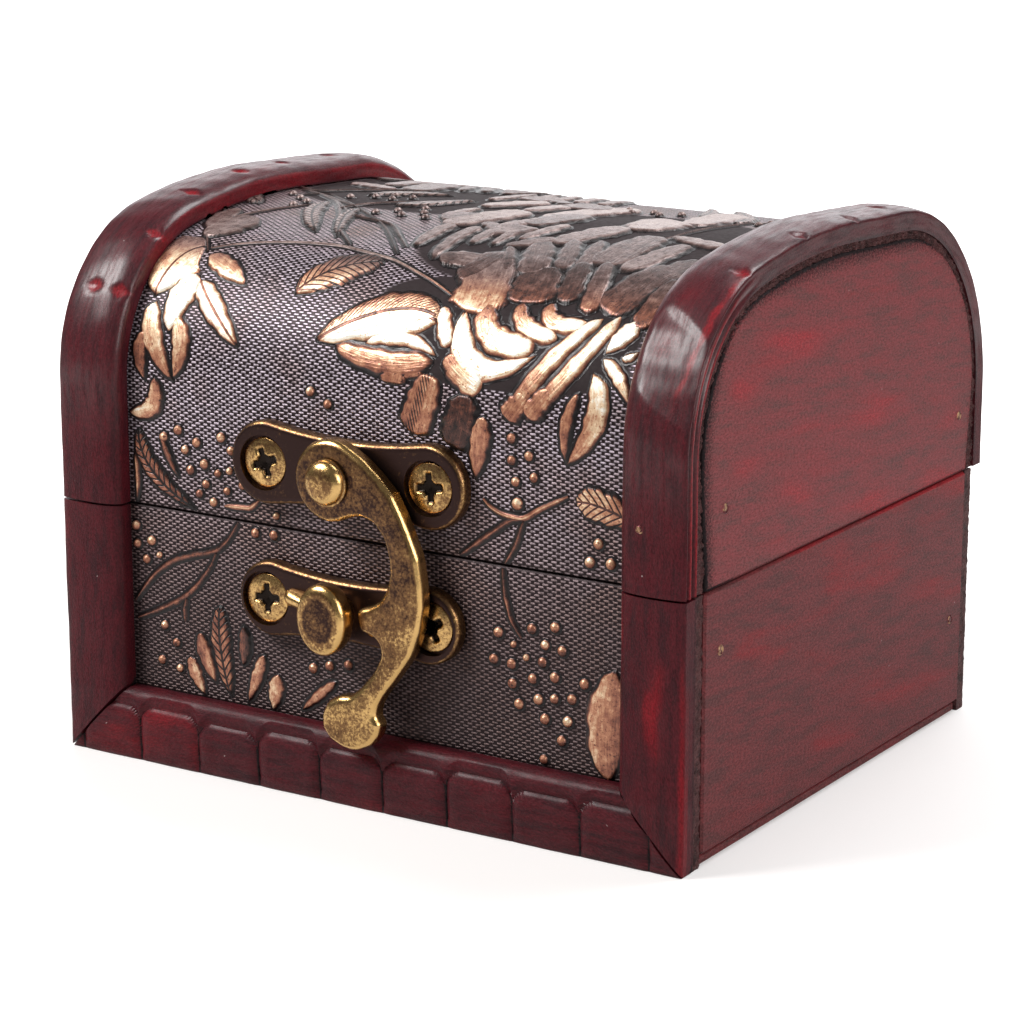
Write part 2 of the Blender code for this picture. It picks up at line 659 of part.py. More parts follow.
WOOD = paint("stained_wood", (0.17, 0.035, 0.040), 0.38, 0.0)
RAW_WOOD = paint("inside_wood", (0.40, 0.24, 0.14), 0.60, 0.0)
LEATHER = paint("embossed_leather", (0.16, 0.15, 0.15), 0.45, 0.0)
BRONZE = paint("antique_brass", (0.33, 0.24, 0.10), 0.35, 1.0)
SCREW_BRASS = paint("screw_brass", (0.75, 0.55, 0.20), 0.30, 1.0)

# Base walls
front_y = (-HALF_DEPTH, -HALF_DEPTH + WALL)
back_y = (HALF_DEPTH - WALL, HALF_DEPTH)
wall_z = (BOTTOM_THICKNESS + FIT_GAP, BASE_HEIGHT)
inner_x = (-INNER_HALF_WIDTH, INNER_HALF_WIDTH)
left_x = (-HALF_WIDTH, -HALF_WIDTH + WALL)
right_x = (HALF_WIDTH - WALL, HALF_WIDTH)
full_y = (-HALF_DEPTH, HALF_DEPTH)
place("base_left_side", board(left_x, full_y, wall_z), WOOD, carcass)
place("base_right_side", board(right_x, full_y, wall_z), WOOD, carcass)
base_front = place("base_front_board", board(inner_x, front_y, wall_z), RAW_WOOD, carcass)
base_back = place("base_back_board", board(inner_x, back_y, wall_z), RAW_WOOD, carcass)
foot_x = (-HALF_WIDTH + FOOT_INSET, HALF_WIDTH - FOOT_INSET)
place("base_bottom_board", board(foot_x, full_y, (0.0, BOTTOM_THICKNESS)), WOOD, carcass)

# Base facings and leather
facing_x = (-HALF_WIDTH + FACING_END_INSET, HALF_WIDTH - FACING_END_INSET)
leather_x = (-HALF_WIDTH + LEATHER_END_INSET, HALF_WIDTH - LEATHER_END_INSET)
face_z = (0.0, BASE_HEIGHT)
leather_z = (LEATHER_LIFT, BASE_HEIGHT)
front_facing_y = (-HALF_DEPTH - FACING_OUT, -HALF_DEPTH - FACING_IN)
front_leather_y = (-HALF_DEPTH - LEATHER_OUT, -HALF_DEPTH - LEATHER_IN)
back_facing_y = (HALF_DEPTH + FACING_IN, HALF_DEPTH + FACING_OUT)
back_leather_y = (HALF_DEPTH + LEATHER_IN, HALF_DEPTH + LEATHER_OUT)
front_facing = place("base_front_facing", board(facing_x, front_facing_y, face_z, 0.0), WOOD, carcass)
front_leather = place("base_front_leather", board(leather_x, front_leather_y, leather_z, 0.0),
                      LEATHER, carcass)
back_facing = place("base_back_facing", board(facing_x, back_facing_y, face_z, 0.0), WOOD, carcass)
back_leather = place("base_back_leather", board(leather_x, back_leather_y, leather_z, 0.0),
                     LEATHER, carcass)

# Base strips
place("base_left_moulding", corner_strip(-1), WOOD, carcass)
place("base_right_moulding", corner_strip(1), WOOD, carcass)
place("base_bottom_moulding", foot_strip(), WOOD, carcass)

# Lid walls, skin, leather and strips
for name, x_span in (("lid_left_end", left_x), ("lid_right_end", right_x)):
    path = lid_outline()
    points = [(x, y, z) for x in x_span for y, z, _, _ in path]
    place(name, mesh_of(name, points, ring_faces(2, len(path))), WOOD, lid_axis)
rail_z = (SEAM_Z, SEAM_Z + RAIL_HEIGHT)
front_rail = place("lid_front_rail", board(inner_x, front_y, rail_z), RAW_WOOD, lid_axis)
back_rail = place("lid_back_rail", board(inner_x, back_y, rail_z), RAW_WOOD, lid_axis)
lid_skin = place("lid_skin", bent_board(*facing_x, FACING_IN, FACING_OUT), WOOD, lid_axis)
lid_leather = place("lid_leather", bent_board(*leather_x, LEATHER_IN, LEATHER_OUT), LEATHER, lid_axis)
place("lid_left_moulding", lid_strip(-1), WOOD, lid_axis)
place("lid_right_moulding", lid_strip(1), WOOD, lid_axis)

# Latch plates with their countersunk holes, and the screws
plates = (
    ("latch", LATCH_PLATE_Z, LATCH_LOBE_SPACING, LATCH_LOBE_RADIUS, LATCH_WAIST_HALF, lid_axis),
    ("keeper", KEEPER_PLATE_Z, KEEPER_LOBE_SPACING, KEEPER_LOBE_RADIUS, KEEPER_WAIST_HALF, carcass),
)
latch_plates = {}
for name, plate_z, spacing, radius, waist, parent in plates:
    plate = place(f"{name}_plate", lobed_plate(plate_z, spacing, radius, waist), BRONZE, parent)
    latch_plates[name] = plate
    for end, side in (("left", -1), ("right", 1)):
        screw_x = LATCH_CENTRE_X + side * PLATE_SCREW_SPACING / 2
        cut(plate, cutter(f"{name}_hole_{end}", screw_hole(screw_x, plate_z), parent))
        place(f"{name}_screw_{end}", plate_screw(screw_x, plate_z), SCREW_BRASS, parent)

# Rivet through the hook's eye and the latch plate
rivet_head = HOOK_FACE + FIT_GAP
rivet_profile = [(0.0, -rivet_head - RIVET_DOME_HEIGHT)]
for step in range(1, RIVET_STEPS + 1):
    lean = math.pi / 2 * step / RIVET_STEPS
    rivet_profile.append((RIVET_DOME_RADIUS * math.sin(lean),
                          -rivet_head - RIVET_DOME_HEIGHT * math.cos(lean)))
rivet_profile += [(RIVET_SHANK_RADIUS, -rivet_head), (RIVET_SHANK_RADIUS, -PLATE_BACK), (0.0, -PLATE_BACK)]
place("latch_rivet", turned(rivet_profile, (PIVOT_X, PIVOT_Z)), BRONZE, lid_axis)
hook = place("latch_hook", hook_mesh(), BRONZE, hook_axis)
eye_bore = pins([(PIVOT_X, PIVOT_Z)], RIVET_SHANK_RADIUS + RIVET_CLEARANCE,
                (-rivet_head - CUT_OVERRUN, -PLATE_BACK + CUT_OVERRUN), TURNED_STEPS)
eye_cutter = cutter("rivet_bore", eye_bore, lid_axis)
cut(hook, eye_cutter)
cut(latch_plates["latch"], eye_cutter)

# Keeper knob with its rib, one casting
knob = place("keeper_knob", knob_mesh(), BRONZE, carcass)
cut(knob, cutter("keeper_rib", rib_mesh(), carcass), "UNION")

# Hinges on the back
base_hinge_screws, lid_hinge_screws = [], []
for side_name, side in (("left", -1), ("right", 1)):
    centre_x = side * HINGE_SPACING / 2
    hinge_leaf(f"hinge_{side_name}_base_leaf", centre_x, False, BRONZE, carcass)
    hinge_leaf(f"hinge_{side_name}_lid_leaf", centre_x, True, BRONZE, lid_axis)
    place(f"hinge_{side_name}_pin", hinge_pin(centre_x), BRONZE, carcass)
    for up, parent, places in ((False, carcass, base_hinge_screws), (True, lid_axis, lid_hinge_screws)):
        leaf_name = "lid" if up else "base"
        for number, (x, z) in enumerate(hinge_screw_places(centre_x, up), 1):
            place(f"hinge_{side_name}_{leaf_name}_screw_{number}", hinge_screw(x, z), SCREW_BRASS, parent)
            places.append((x, z))

# Holes for the screws in the layers behind the plates and leaves
screw_x_places = [LATCH_CENTRE_X + side * PLATE_SCREW_SPACING / 2 for side in (-1, 1)]
hole_radius = SCREW_SHANK_RADIUS + SCREW_CLEARANCE
small_hole_radius = HINGE_SCREW_SHANK_RADIUS + SCREW_CLEARANCE
front_reach = (-PLATE_FACE, -PLATE_BACK + SCREW_LENGTH + SCREW_CLEARANCE)
back_reach = (LEATHER_FACE - HINGE_SCREW_LENGTH, HINGE_Y)
base_front_holes = cutter("base_front_holes", pins([(x, KEEPER_PLATE_Z) for x in screw_x_places],
                                                   hole_radius, front_reach), carcass)
lid_front_holes = cutter("lid_front_holes", pins([(x, LATCH_PLATE_Z) for x in screw_x_places],
                                                 hole_radius, front_reach), lid_axis)
base_back_holes = cutter("base_back_holes", pins(base_hinge_screws, small_hole_radius, back_reach), carcass)
lid_back_holes = cutter("lid_back_holes", pins(lid_hinge_screws, small_hole_radius, back_reach), lid_axis)
for piece in (base_front, front_facing, front_leather):
    cut(piece, base_front_holes)
for piece in (base_back, back_facing, back_leather):
    cut(piece, base_back_holes)
for piece in (front_rail, lid_skin, lid_leather):
    cut(piece, lid_front_holes)
for piece in (back_rail, lid_skin, lid_leather):
    cut(piece, lid_back_holes)
for piece in (lid_skin, lid_leather, hook, knob, *latch_plates.values()):
    even_shading(piece)
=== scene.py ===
import functools
import math

import bpy
import numpy as np
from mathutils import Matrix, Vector


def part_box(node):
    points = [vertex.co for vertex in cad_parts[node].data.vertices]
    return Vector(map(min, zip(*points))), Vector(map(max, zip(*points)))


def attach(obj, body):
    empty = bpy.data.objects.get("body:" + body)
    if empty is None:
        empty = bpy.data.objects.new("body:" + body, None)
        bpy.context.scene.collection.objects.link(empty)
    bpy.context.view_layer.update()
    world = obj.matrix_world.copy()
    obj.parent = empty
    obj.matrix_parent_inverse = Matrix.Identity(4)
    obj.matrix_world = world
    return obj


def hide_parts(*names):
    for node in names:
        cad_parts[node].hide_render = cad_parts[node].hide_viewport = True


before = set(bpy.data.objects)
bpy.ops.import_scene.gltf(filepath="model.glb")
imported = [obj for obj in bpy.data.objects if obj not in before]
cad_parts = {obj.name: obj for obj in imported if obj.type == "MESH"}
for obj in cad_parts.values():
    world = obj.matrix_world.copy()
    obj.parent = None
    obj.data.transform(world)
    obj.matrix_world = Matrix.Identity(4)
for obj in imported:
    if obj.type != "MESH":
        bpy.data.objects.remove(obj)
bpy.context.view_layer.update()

# The view: a long lens a little above the box and to its right, as in the product photograph.
# The box stands on a plain white sweep under two high soft boxes, one at its right and a pale far wall.
MM = 0.001
WHITE = (1.0, 1.0, 1.0, 1.0)
CAMERA_PLACE = (0.191558, -0.303836, 0.118407)
CAMERA_TURN = 32.4376
CAMERA_DIP = 14.4564
LENS_MM = 114.17
SENSOR_MM = 36.0
BOX_MIDDLE = (0.0, 0.0, 0.030)
FLOOR_HALF = 3.0
camera_data = bpy.data.cameras.new("camera")
camera_data.lens = LENS_MM
camera_data.sensor_width = SENSOR_MM
camera_data.clip_start = 0.01
camera = bpy.data.objects.new("camera", camera_data)
camera.location = CAMERA_PLACE
camera.rotation_euler = (math.radians(90 - CAMERA_DIP), 0, math.radians(CAMERA_TURN))
bpy.context.scene.collection.objects.link(camera)
bpy.context.scene.camera = camera
bpy.context.scene.view_settings.view_transform = "Standard"


def soft_box(name, place, width, height, power, colour):
    """A rectangular lamp that faces the middle of the box."""
    lamp_data = bpy.data.lights.new(name, "AREA")
    lamp_data.shape = "RECTANGLE"
    lamp_data.size, lamp_data.size_y = width, height
    lamp_data.energy = power
    lamp_data.color = colour
    lamp = bpy.data.objects.new(name, lamp_data)
    lamp.location = place
    lamp.rotation_euler = (Vector(BOX_MIDDLE) - Vector(place)).to_track_quat("-Z", "Y").to_euler()
    bpy.context.scene.collection.objects.link(lamp)


soft_box("high_left_soft_box", (-0.27, -0.25, 0.39), 0.24, 0.20, 2.9, (1.0, 0.99, 0.98))
soft_box("high_back_soft_box", (0.10, 0.22, 0.46), 0.30, 0.20, 1.9, (0.98, 0.99, 1.0))
soft_box("far_sweep", (-0.30, 0.52, 0.20), 0.60, 0.26, 0.9, (0.98, 0.98, 1.0))
soft_box("right_soft_box", (0.50, -0.14, 0.24), 0.26, 0.26, 1.5, (1.0, 0.98, 0.96))


def feed(node, sockets):
    """Gives a node's inputs, by name or number, a value or another node's output."""
    for socket, value in dict(sockets).items():
        if isinstance(value, bpy.types.NodeSocket):
            node.id_data.links.new(value, node.inputs[socket])
        else:
            node.inputs[socket].default_value = value


def shader_node(tree, kind, sockets=(), **settings):
    """A new node of a shader, with its settings and then its inputs."""
    node = tree.nodes.new("ShaderNode" + kind)
    for name, value in settings.items():
        setattr(node, name, value)
    feed(node, sockets)
    return node


def tree_of(*values):
    """The node tree that holds the first socket among the values."""
    return next(value.id_data for value in values if isinstance(value, bpy.types.NodeSocket))


def arithmetic(operation, first, second=0.0, third=0.0):
    """One Math node, beside the nodes that its values come from."""
    sockets = {0: first, 1: second, 2: third}
    return shader_node(tree_of(first, second, third), "Math", sockets, operation=operation).outputs[0]


plus, minus, times, times_plus, larger, absolute = (
    functools.partial(arithmetic, operation)
    for operation in ("ADD", "SUBTRACT", "MULTIPLY", "MULTIPLY_ADD", "MAXIMUM", "ABSOLUTE"))


def new_material(name):
    """A material with its tree and its Principled shader."""
    material = bpy.data.materials.new(name)
    material.use_nodes = True
    return material, material.node_tree, material.node_tree.nodes["Principled BSDF"]


sky = bpy.data.worlds.new("studio")
sky.use_nodes = True
sky_rays = shader_node(sky.node_tree, "LightPath").outputs
sky_seen = plus(sky_rays["Is Camera Ray"], sky_rays["Is Transmission Ray"])
sky_strength = shader_node(sky.node_tree, "MapRange", {"Value": sky_seen, "To Min": 0.12, "To Max": 1.0})
feed(sky.node_tree.nodes["Background"], {"Color": WHITE, "Strength": sky_strength.outputs["Result"]})
bpy.context.scene.world = sky

floor_mesh = bpy.data.meshes.new("floor")
floor_corners = [(x * FLOOR_HALF, y * FLOOR_HALF, 0) for x, y in ((-1, -1), (1, -1), (1, 1), (-1, 1))]
floor_mesh.from_pydata(floor_corners, [], [(0, 1, 2, 3)])
floor = bpy.data.objects.new("floor", floor_mesh)
bpy.context.scene.collection.objects.link(floor)
floor_paint, floor_tree, floor_shader = new_material("white_sweep")
# The floor glows for the camera alone: a painted glow, weak near the box so its shadow stays, full white from
# 30 cm out.
floor_seen = shader_node(floor_tree, "LightPath").outputs["Is Camera Ray"]
floor_place = shader_node(floor_tree, "TexCoord").outputs["Object"]
floor_reach = shader_node(floor_tree, "VectorMath", {0: floor_place}, operation="LENGTH").outputs["Value"]
floor_glow = shader_node(floor_tree, "MapRange", {"Value": floor_reach, "From Min": 0.05, "From Max": 0.30,
                                                   "To Min": 0.30, "To Max": 1.0}).outputs["Result"]
feed(floor_shader, {"Base Color": (0.70, 0.68, 0.67, 1.0), "Roughness": 0.6, "Emission Color": WHITE,
                    "Emission Strength": times(floor_seen, floor_glow)})
floor_mesh.materials.append(floor_paint)

# Boards of the box: thin planks nailed into a carcass, brushed with a dark red-brown stain that
# sinks in unevenly, so brighter red shows in streaks, and rubbed over with a satin varnish.
LID_COLOURS = {"Stain": (0.195, 0.040, 0.044, 1.0), "Deep": (0.105, 0.044, 0.043, 1.0),
               "Bare": (0.360, 0.016, 0.026, 1.0)}
# The base's palette is a darker copy of the lid's: painted shade on the lower boards.
BASE_COLOURS = {"Stain": (0.148, 0.031, 0.034, 1.0), "Deep": (0.070, 0.028, 0.028, 1.0),
                "Bare": (0.300, 0.012, 0.018, 1.0)}
DUST_COLOUR = (0.42, 0.34, 0.33, 1.0)
GRIME_COLOUR = (0.012, 0.008, 0.009, 1.0)
side_low, side_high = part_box("base_right_side")
end_low, end_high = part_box("lid_right_end")
HALF_WIDTH = side_high.x / MM
HALF_DEPTH = (side_high.y - side_low.y) / 2 / MM
MIDDLE_Y = (side_high.y + side_low.y) / 2 / MM
SIDE_FRONT = side_low.y / MM
BASE_TOP = side_high.z / MM
SEAM_Z = end_low.z / MM
SEAM_MIDDLE = (side_high.z + end_low.z) / 2 / MM
CROWN_Z = end_high.z / MM
INNER_FACE = end_low.x / MM
DOME_CORNERS = ((-HALF_DEPTH, 0.0), (-HALF_DEPTH, 25.7), (-8.4, 29.5), (HALF_DEPTH, 27.65), (HALF_DEPTH, 0.0))
DOME_RADII = np.array([14.3, 83.0, 18.9])
DOME_STEPS = 6001
EASED = 0.25
END_CARRY = 0.95
CARRY_RISE = 12.0
END_STATIONS = 520


def stretched_noise(place, stretch, detail, roughness=0.55):
    """Noise drawn out along the grain: stretch is its scale along, across and into the board, per mm."""
    mapped = shader_node(place.id_data, "VectorMath", {0: place, 1: stretch}, operation="MULTIPLY").outputs[0]
    return shader_node(place.id_data, "TexNoise", {"Vector": mapped, "Scale": 1.0, "Detail": detail,
                                                   "Roughness": roughness}).outputs["Fac"]


def ramp(value, low, high, to_low=0.0, to_high=1.0):
    """Smooth step of a value from low to high."""
    sockets = {"Value": value, "From Min": low, "From Max": high, "To Min": to_low, "To Max": to_high}
    return shader_node(value.id_data, "MapRange", sockets, interpolation_type="SMOOTHSTEP").outputs["Result"]


def blend_colour(share, first, second, mode="MIX"):
    """Mixes two colours by a share."""
    tree = tree_of(share, first, second)
    sockets = {0: share, 6: first, 7: second}
    return shader_node(tree, "Mix", sockets, data_type="RGBA", blend_type=mode).outputs[2]


def finish_group(name, **inputs):
    """An empty node group for a colour, a roughness and a height: it, its inputs and its output node."""
    group = bpy.data.node_groups.new(name, "ShaderNodeTree")
    outputs = {"Color": "Color", "Roughness": "Float", "Height": "Float"}
    for way, sockets in (("INPUT", inputs), ("OUTPUT", outputs)):
        for label, kind in sockets.items():
            group.interface.new_socket(label, in_out=way, socket_type="NodeSocket" + kind)
    return group, group.nodes.new("NodeGroupInput").outputs, group.nodes.new("NodeGroupOutput")


grain_group, grain_in, grain_out = finish_group(
    "stained_grain", Place="Vector", Stain="Color", Deep="Color", Bare="Color", Red="Float", Dirt="Float")
grain_place = grain_in["Place"]
patches = stretched_noise(grain_place, (0.050, 0.085, 0.26), 4.0, 0.55)
streaks = stretched_noise(grain_place, (0.16, 0.85, 0.85), 4.0, 0.6)
fibres = stretched_noise(grain_place, (2.0, 4.6, 4.6), 3.0, 0.7)
grit = stretched_noise(grain_place, (3.6, 4.4, 4.4), 3.0, 0.75)
red_field = plus(times_plus(streaks, 0.35, patches), grain_in["Red"])
red_share = times(ramp(red_field, 0.66, 1.00), 0.66)
dark_share = ramp(times_plus(grit, 0.45, streaks), 0.60, 0.92, 0.0, 0.80)
dirt_share = ramp(times_plus(grit, 0.8, grain_in["Dirt"]), 0.75, 1.15)
specks = shader_node(grain_group, "TexVoronoi", {"Vector": grain_place, "Scale": 0.42}).outputs
speck_kind = shader_node(grain_group, "SeparateColor", {"Color": specks["Color"]}).outputs[0]
speck_share = times(ramp(specks["Distance"], 0.03, 0.05, 1.0, 0.0), ramp(speck_kind, 0.70, 0.80))
wood_colour = blend_colour(dark_share, grain_in["Stain"], grain_in["Deep"])
wood_colour = blend_colour(red_share, wood_colour, grain_in["Bare"])
wood_colour = blend_colour(1.0, wood_colour, ramp(fibres, 0.30, 0.72, 0.60, 1.32), "MULTIPLY")
wood_colour = blend_colour(dirt_share, wood_colour, GRIME_COLOUR)
wood_colour = blend_colour(times(speck_share, 0.7), wood_colour, DUST_COLOUR)
feed(grain_out, {"Color": wood_colour, "Height": times_plus(grit, 0.6, fibres),
                 "Roughness": times_plus(dirt_share, 0.25, ramp(grit, 0.3, 0.7, 0.34, 0.52))})


def millimetres(tree, turn=(0, 0, 0)):
    """Object coordinates in mm, turned so that a board's grain lies along x."""
    where = shader_node(tree, "TexCoord").outputs["Object"]
    sockets = {"Vector": where, "Rotation": turn, "Scale": (1 / MM,) * 3}
    return shader_node(tree, "Mapping", sockets).outputs["Vector"]


def mesh_mark(tree, name):
    """A number that a mesh carries at each point, such as how dirty or how worn it is."""
    return shader_node(tree, "Attribute", attribute_name=name).outputs["Fac"]


def surfaced(shader, colour, roughness, height, bump, depth):
    """Gives a shader its colour and roughness, and dents from a height by their strength and depth in mm."""
    dents = shader_node(shader.id_data, "Bump", {"Height": height, "Strength": bump, "Distance": depth * MM})
    feed(shader, {"Base Color": colour, "Roughness": roughness, "Normal": dents.outputs["Normal"]})


def varnish(shader, place, colours, red, dirt, bump, coat):
    """Feeds a shader from the stained grain at a place, and rubs a coat of varnish over it."""
    sockets = {"Place": place, "Red": red, "Dirt": dirt, **colours}
    grain = shader_node(shader.id_data, "Group", sockets, node_tree=grain_group).outputs
    surfaced(shader, grain["Color"], grain["Roughness"], grain["Height"], bump, 0.1)
    feed(shader, {"Coat Weight": coat, "Coat Roughness": 0.29, "Specular IOR Level": 0.10})


def repaint(material, *node_names):
    """Gives CAD nodes a finished material."""
    for node_name in node_names:
        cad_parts[node_name].data.materials.clear()
        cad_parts[node_name].data.materials.append(material)


side_wood, side_tree, side_shader = new_material("side_boards")
side_place = millimetres(side_tree, (math.radians(6), 0, math.radians(90)))
side_where = shader_node(side_tree, "SeparateXYZ", {0: millimetres(side_tree)}).outputs
side_seam = absolute(minus(side_where[2], SEAM_MIDDLE))
side_front = ramp(side_where[1], SIDE_FRONT, SIDE_FRONT + 8.0, 1.0, 0.0)
side_crown = ramp(side_where[2], CROWN_Z - 6.0, CROWN_Z)
side_dull = times(larger(side_front, side_crown), -0.22)
side_rim = mesh_mark(side_tree, "rim")
side_red = plus(ramp(side_seam, 0.25, 0.60, 0.20, 0.0), side_dull)
side_red = times_plus(side_rim, -0.5, side_red)
side_dirt = times_plus(side_rim, 0.50, times(side_dull, -1.4))
on_lid = ramp(side_where[2], SEAM_MIDDLE - 0.5, SEAM_MIDDLE + 0.5)
side_colours = {key: blend_colour(on_lid, BASE_COLOURS[key], LID_COLOURS[key]) for key in LID_COLOURS}
varnish(side_shader, side_place, side_colours, side_red, side_dirt, 0.6, 0.04)
repaint(side_wood, "base_left_side", "base_right_side", "base_bottom_board")


def dome_runs(offset):
    """The end walls' outline carried out by an offset, as straight runs and arcs: headings and lengths."""
    legs = np.diff(DOME_CORNERS, axis=0)
    headings = np.arctan2(legs[:, 1], legs[:, 0])
    turns = headings[:-1] - headings[1:]
    reach = DOME_RADII * np.tan(turns / 2)
    straight = np.hypot(legs[:, 0], legs[:, 1])
    straight[:-1] -= reach
    straight[1:] -= reach
    runs = np.zeros(7)
    runs[0::2], runs[1::2] = straight, (DOME_RADII + offset) * turns
    return headings, runs


def dome_length(offset):
    """How long the carried-out outline is from seam to seam."""
    return dome_runs(offset)[1].sum()


def dome_outline(stations, offset):
    """Points of the carried-out outline: y, z and the outward direction there, in mm.

    The heading is constant on a run and turns evenly on an arc, and a point is the running sum of the
    heading. Stations are lengths along the line from the front seam, over the crown to the back seam.
    """
    headings, runs = dome_runs(offset)
    ends = np.concatenate([[0.0], np.cumsum(runs)])
    walk = np.linspace(0.0, ends[-1], DOME_STEPS)
    heading = np.interp(walk, ends, np.repeat(headings, 2))
    middle = (heading[1:] + heading[:-1]) / 2
    along_y = MIDDLE_Y - HALF_DEPTH - offset + np.concatenate([[0.0], np.cumsum(np.cos(middle)) * walk[1]])
    along_z = SEAM_Z + np.concatenate([[0.0], np.cumsum(np.sin(middle)) * walk[1]])
    stations = np.clip(stations, 0.0, ends[-1])
    turned = np.interp(stations, walk, heading)
    return (np.interp(stations, walk, along_y), np.interp(stations, walk, along_z),
            -np.sin(turned), np.cos(turned))


def pressed(depth):
    """A smooth shoulder: nothing at the edge, full height once depth reaches one."""
    depth = np.clip(depth, 0, 1)
    return depth * depth * (3 - 2 * depth)


def grid_faces(rows, columns, count=1, wrap=False):
    """Quads of count equal grids stored one after another: rows up, columns across, closed if wrap."""
    index = np.arange(count * rows * columns).reshape(count, rows, columns)
    right = np.roll(index, -1, axis=2) if wrap else index[:, :, 1:]
    left = index if wrap else index[:, :, :-1]
    return np.stack([left[:, :-1], right[:, :-1], right[:, 1:], left[:, 1:]], axis=-1).reshape(-1, 4)


def skinned(name, points, faces, uv, marks, crease=50):
    """A smooth-shaded mesh from points in mm, with a UV map in mm and one float attribute per mark."""
    mesh = bpy.data.meshes.new(name)
    mesh.from_pydata((points.reshape(-1, 3) * MM).tolist(), [], faces)
    corner = np.zeros(len(mesh.loops), np.int32)
    mesh.loops.foreach_get("vertex_index", corner)
    layer = mesh.uv_layers.new(name="surface")
    layer.data.foreach_set("uv", uv.reshape(-1, 2)[corner].astype(np.float32).ravel())
    for key, value in marks.items():
        mesh.attributes.new(key, "FLOAT", "POINT").data.foreach_set("value", value.astype(np.float32).ravel())
    mesh.shade_smooth()
    mesh.set_sharp_from_angle(angle=math.radians(crease))
    return mesh


def add_piece(name, mesh, material, body, slot, *stands_for):
    """Puts a finished mesh in the scene, on its body and in place of the CAD nodes it stands for."""
    piece = bpy.data.objects.new(name, mesh)
    bpy.context.scene.collection.objects.link(piece)
    mesh.materials.append(material)
    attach(piece, body)
    if stands_for:
        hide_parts(*stands_for)
    return piece


def capped(rows, columns):
    """Faces of a turned grid with its first and last ring closed."""
    faces = grid_faces(rows, columns, 1, True).tolist()
    return faces + [list(range(columns))[::-1], list(range((rows - 1) * columns, rows * columns))]


def end_carry(station):
    """How far the end boards run up past the outline: nothing at the seam, all of it over the dome."""
    return END_CARRY * pressed(np.minimum(station, dome_length(0.0) - station) / CARRY_RISE)


END_INSETS = np.array([6.0, 3.2, 2.2, 1.5, 1.0, 0.65, 0.42, 0.25])
ease = EASED * (1 - np.sin(np.linspace(0, math.pi / 2, 5)[1:]))
tuck = EASED * (1 - np.cos(np.linspace(0, math.pi / 2, 5)[1:]))
inset = np.concatenate([END_INSETS, ease, ease[::-1], [EASED]])[:, None]
board = HALF_WIDTH - INNER_FACE
depth_in = np.concatenate([0 * END_INSETS, tuck, board - tuck[::-1], [board]])[:, None]
station = np.linspace(0.0, dome_length(0.0), END_STATIONS)
flat_y, flat_z, out_y, out_z = dome_outline(station, 0.0)
crumble = np.random.default_rng(5).normal(size=(len(inset), END_STATIONS)) * 0.05 * np.exp(-inset / 0.7)
rim = np.maximum(np.exp(-(inset / 0.55) ** 2), 0.62 * np.exp(-(inset / 2.1) ** 2)) + 0 * crumble
carry = end_carry(station) - inset
for side_name, side in (("left", -1), ("right", 1)):
    x = side * (HALF_WIDTH - depth_in + crumble * (depth_in < 1.0))
    z = np.maximum(flat_z + out_z * carry, SEAM_Z + inset.clip(0, EASED))
    rings = np.stack([x, flat_y + out_y * carry, z], axis=-1)
    rings = rings if side < 0 else rings[:, ::-1]
    end_mesh = skinned(f"lid_{side_name}_end_board", rings, capped(*rings.shape[:2]), rings[..., 1:],
                       {"rim": rim}, crease=40)
    add_piece(f"lid_{side_name}_end_board", end_mesh, side_wood, "lid", "stained_wood",
              f"lid_{side_name}_end")

# Facings, bent skin and bottom: thin boards whose rough ends show between the strips and the sides.
# They are dark with stain that soaked into the end grain, and they have no varnish to speak of.
END_COLOURS = {"Stain": (0.095, 0.040, 0.040, 1.0), "Deep": (0.020, 0.012, 0.012, 1.0),
               "Bare": (0.210, 0.022, 0.026, 1.0)}
SKIN_LOW, SKIN_HIGH, SKIN_END_HIGH = 0.2, 1.1, 1.86
FLAT_REACH, LEATHER_CLEAR, RIM_REACH, SKIN_REACH = 36.2, 39.33, 39.36, 39.78
edge_wood, edge_tree, edge_shader = new_material("board_ends")
varnish(edge_shader, millimetres(edge_tree), END_COLOURS, -0.15, 0.22, 1.0, 0.0)


def rough_ended(name, body, node_name, line, lap, seed, ragged):
    """A facing whose sawn ends are ragged and stand up to the strips: line is y, z and outward y, z.

    Its section runs from the middle over the face to the end, down the end and back below. The end is
    moved in and out by noise that is averaged along the line, plus a slow wave.
    """
    rows = len(lap)
    half_x = np.array([0.0, FLAT_REACH, LEATHER_CLEAR, RIM_REACH, *([SKIN_REACH] * 9), INNER_FACE + 0.15,
                       INNER_FACE + 0.1, 0.0])
    step = np.arange(16)
    down = np.concatenate([[1.0] * 4, np.linspace(1.0, 0.0, 9), [0.0] * 3])
    carried = np.where(step < 3, SKIN_HIGH, np.where(step > 13, SKIN_LOW, lap + (SKIN_END_HIGH - lap) * down))
    rough = np.random.default_rng(seed).normal(size=(rows, 16))
    rough = (rough + np.roll(rough, 1, axis=0) + np.roll(rough, 2, axis=0)) / 3
    walk = np.arange(rows)[:, None] * 0.1
    rough = rough + 0.6 * np.sin(walk * 2.9 + 2 * np.sin(walk * 1.1))
    half_x = half_x + ragged * (rough - 0.2) * (half_x == SKIN_REACH) * (step > 3)
    section_y, section_z = line[0] + line[2] * carried, line[1] + line[3] * carried
    right_side = np.stack([half_x, section_y, section_z], axis=-1)[:, :-1]
    left_side = np.stack([-half_x, section_y, section_z], axis=-1)[:, 1:-1][:, ::-1]
    bottom = np.stack([0 * half_x, section_y, section_z], axis=-1)[:, -1:]
    rings = np.concatenate([right_side, bottom, left_side], axis=1)
    mesh = skinned(name, rings, capped(*rings.shape[:2]), rings[..., 1:], {}, crease=40)
    add_piece(name, mesh, edge_wood, body, "stained_wood", node_name)


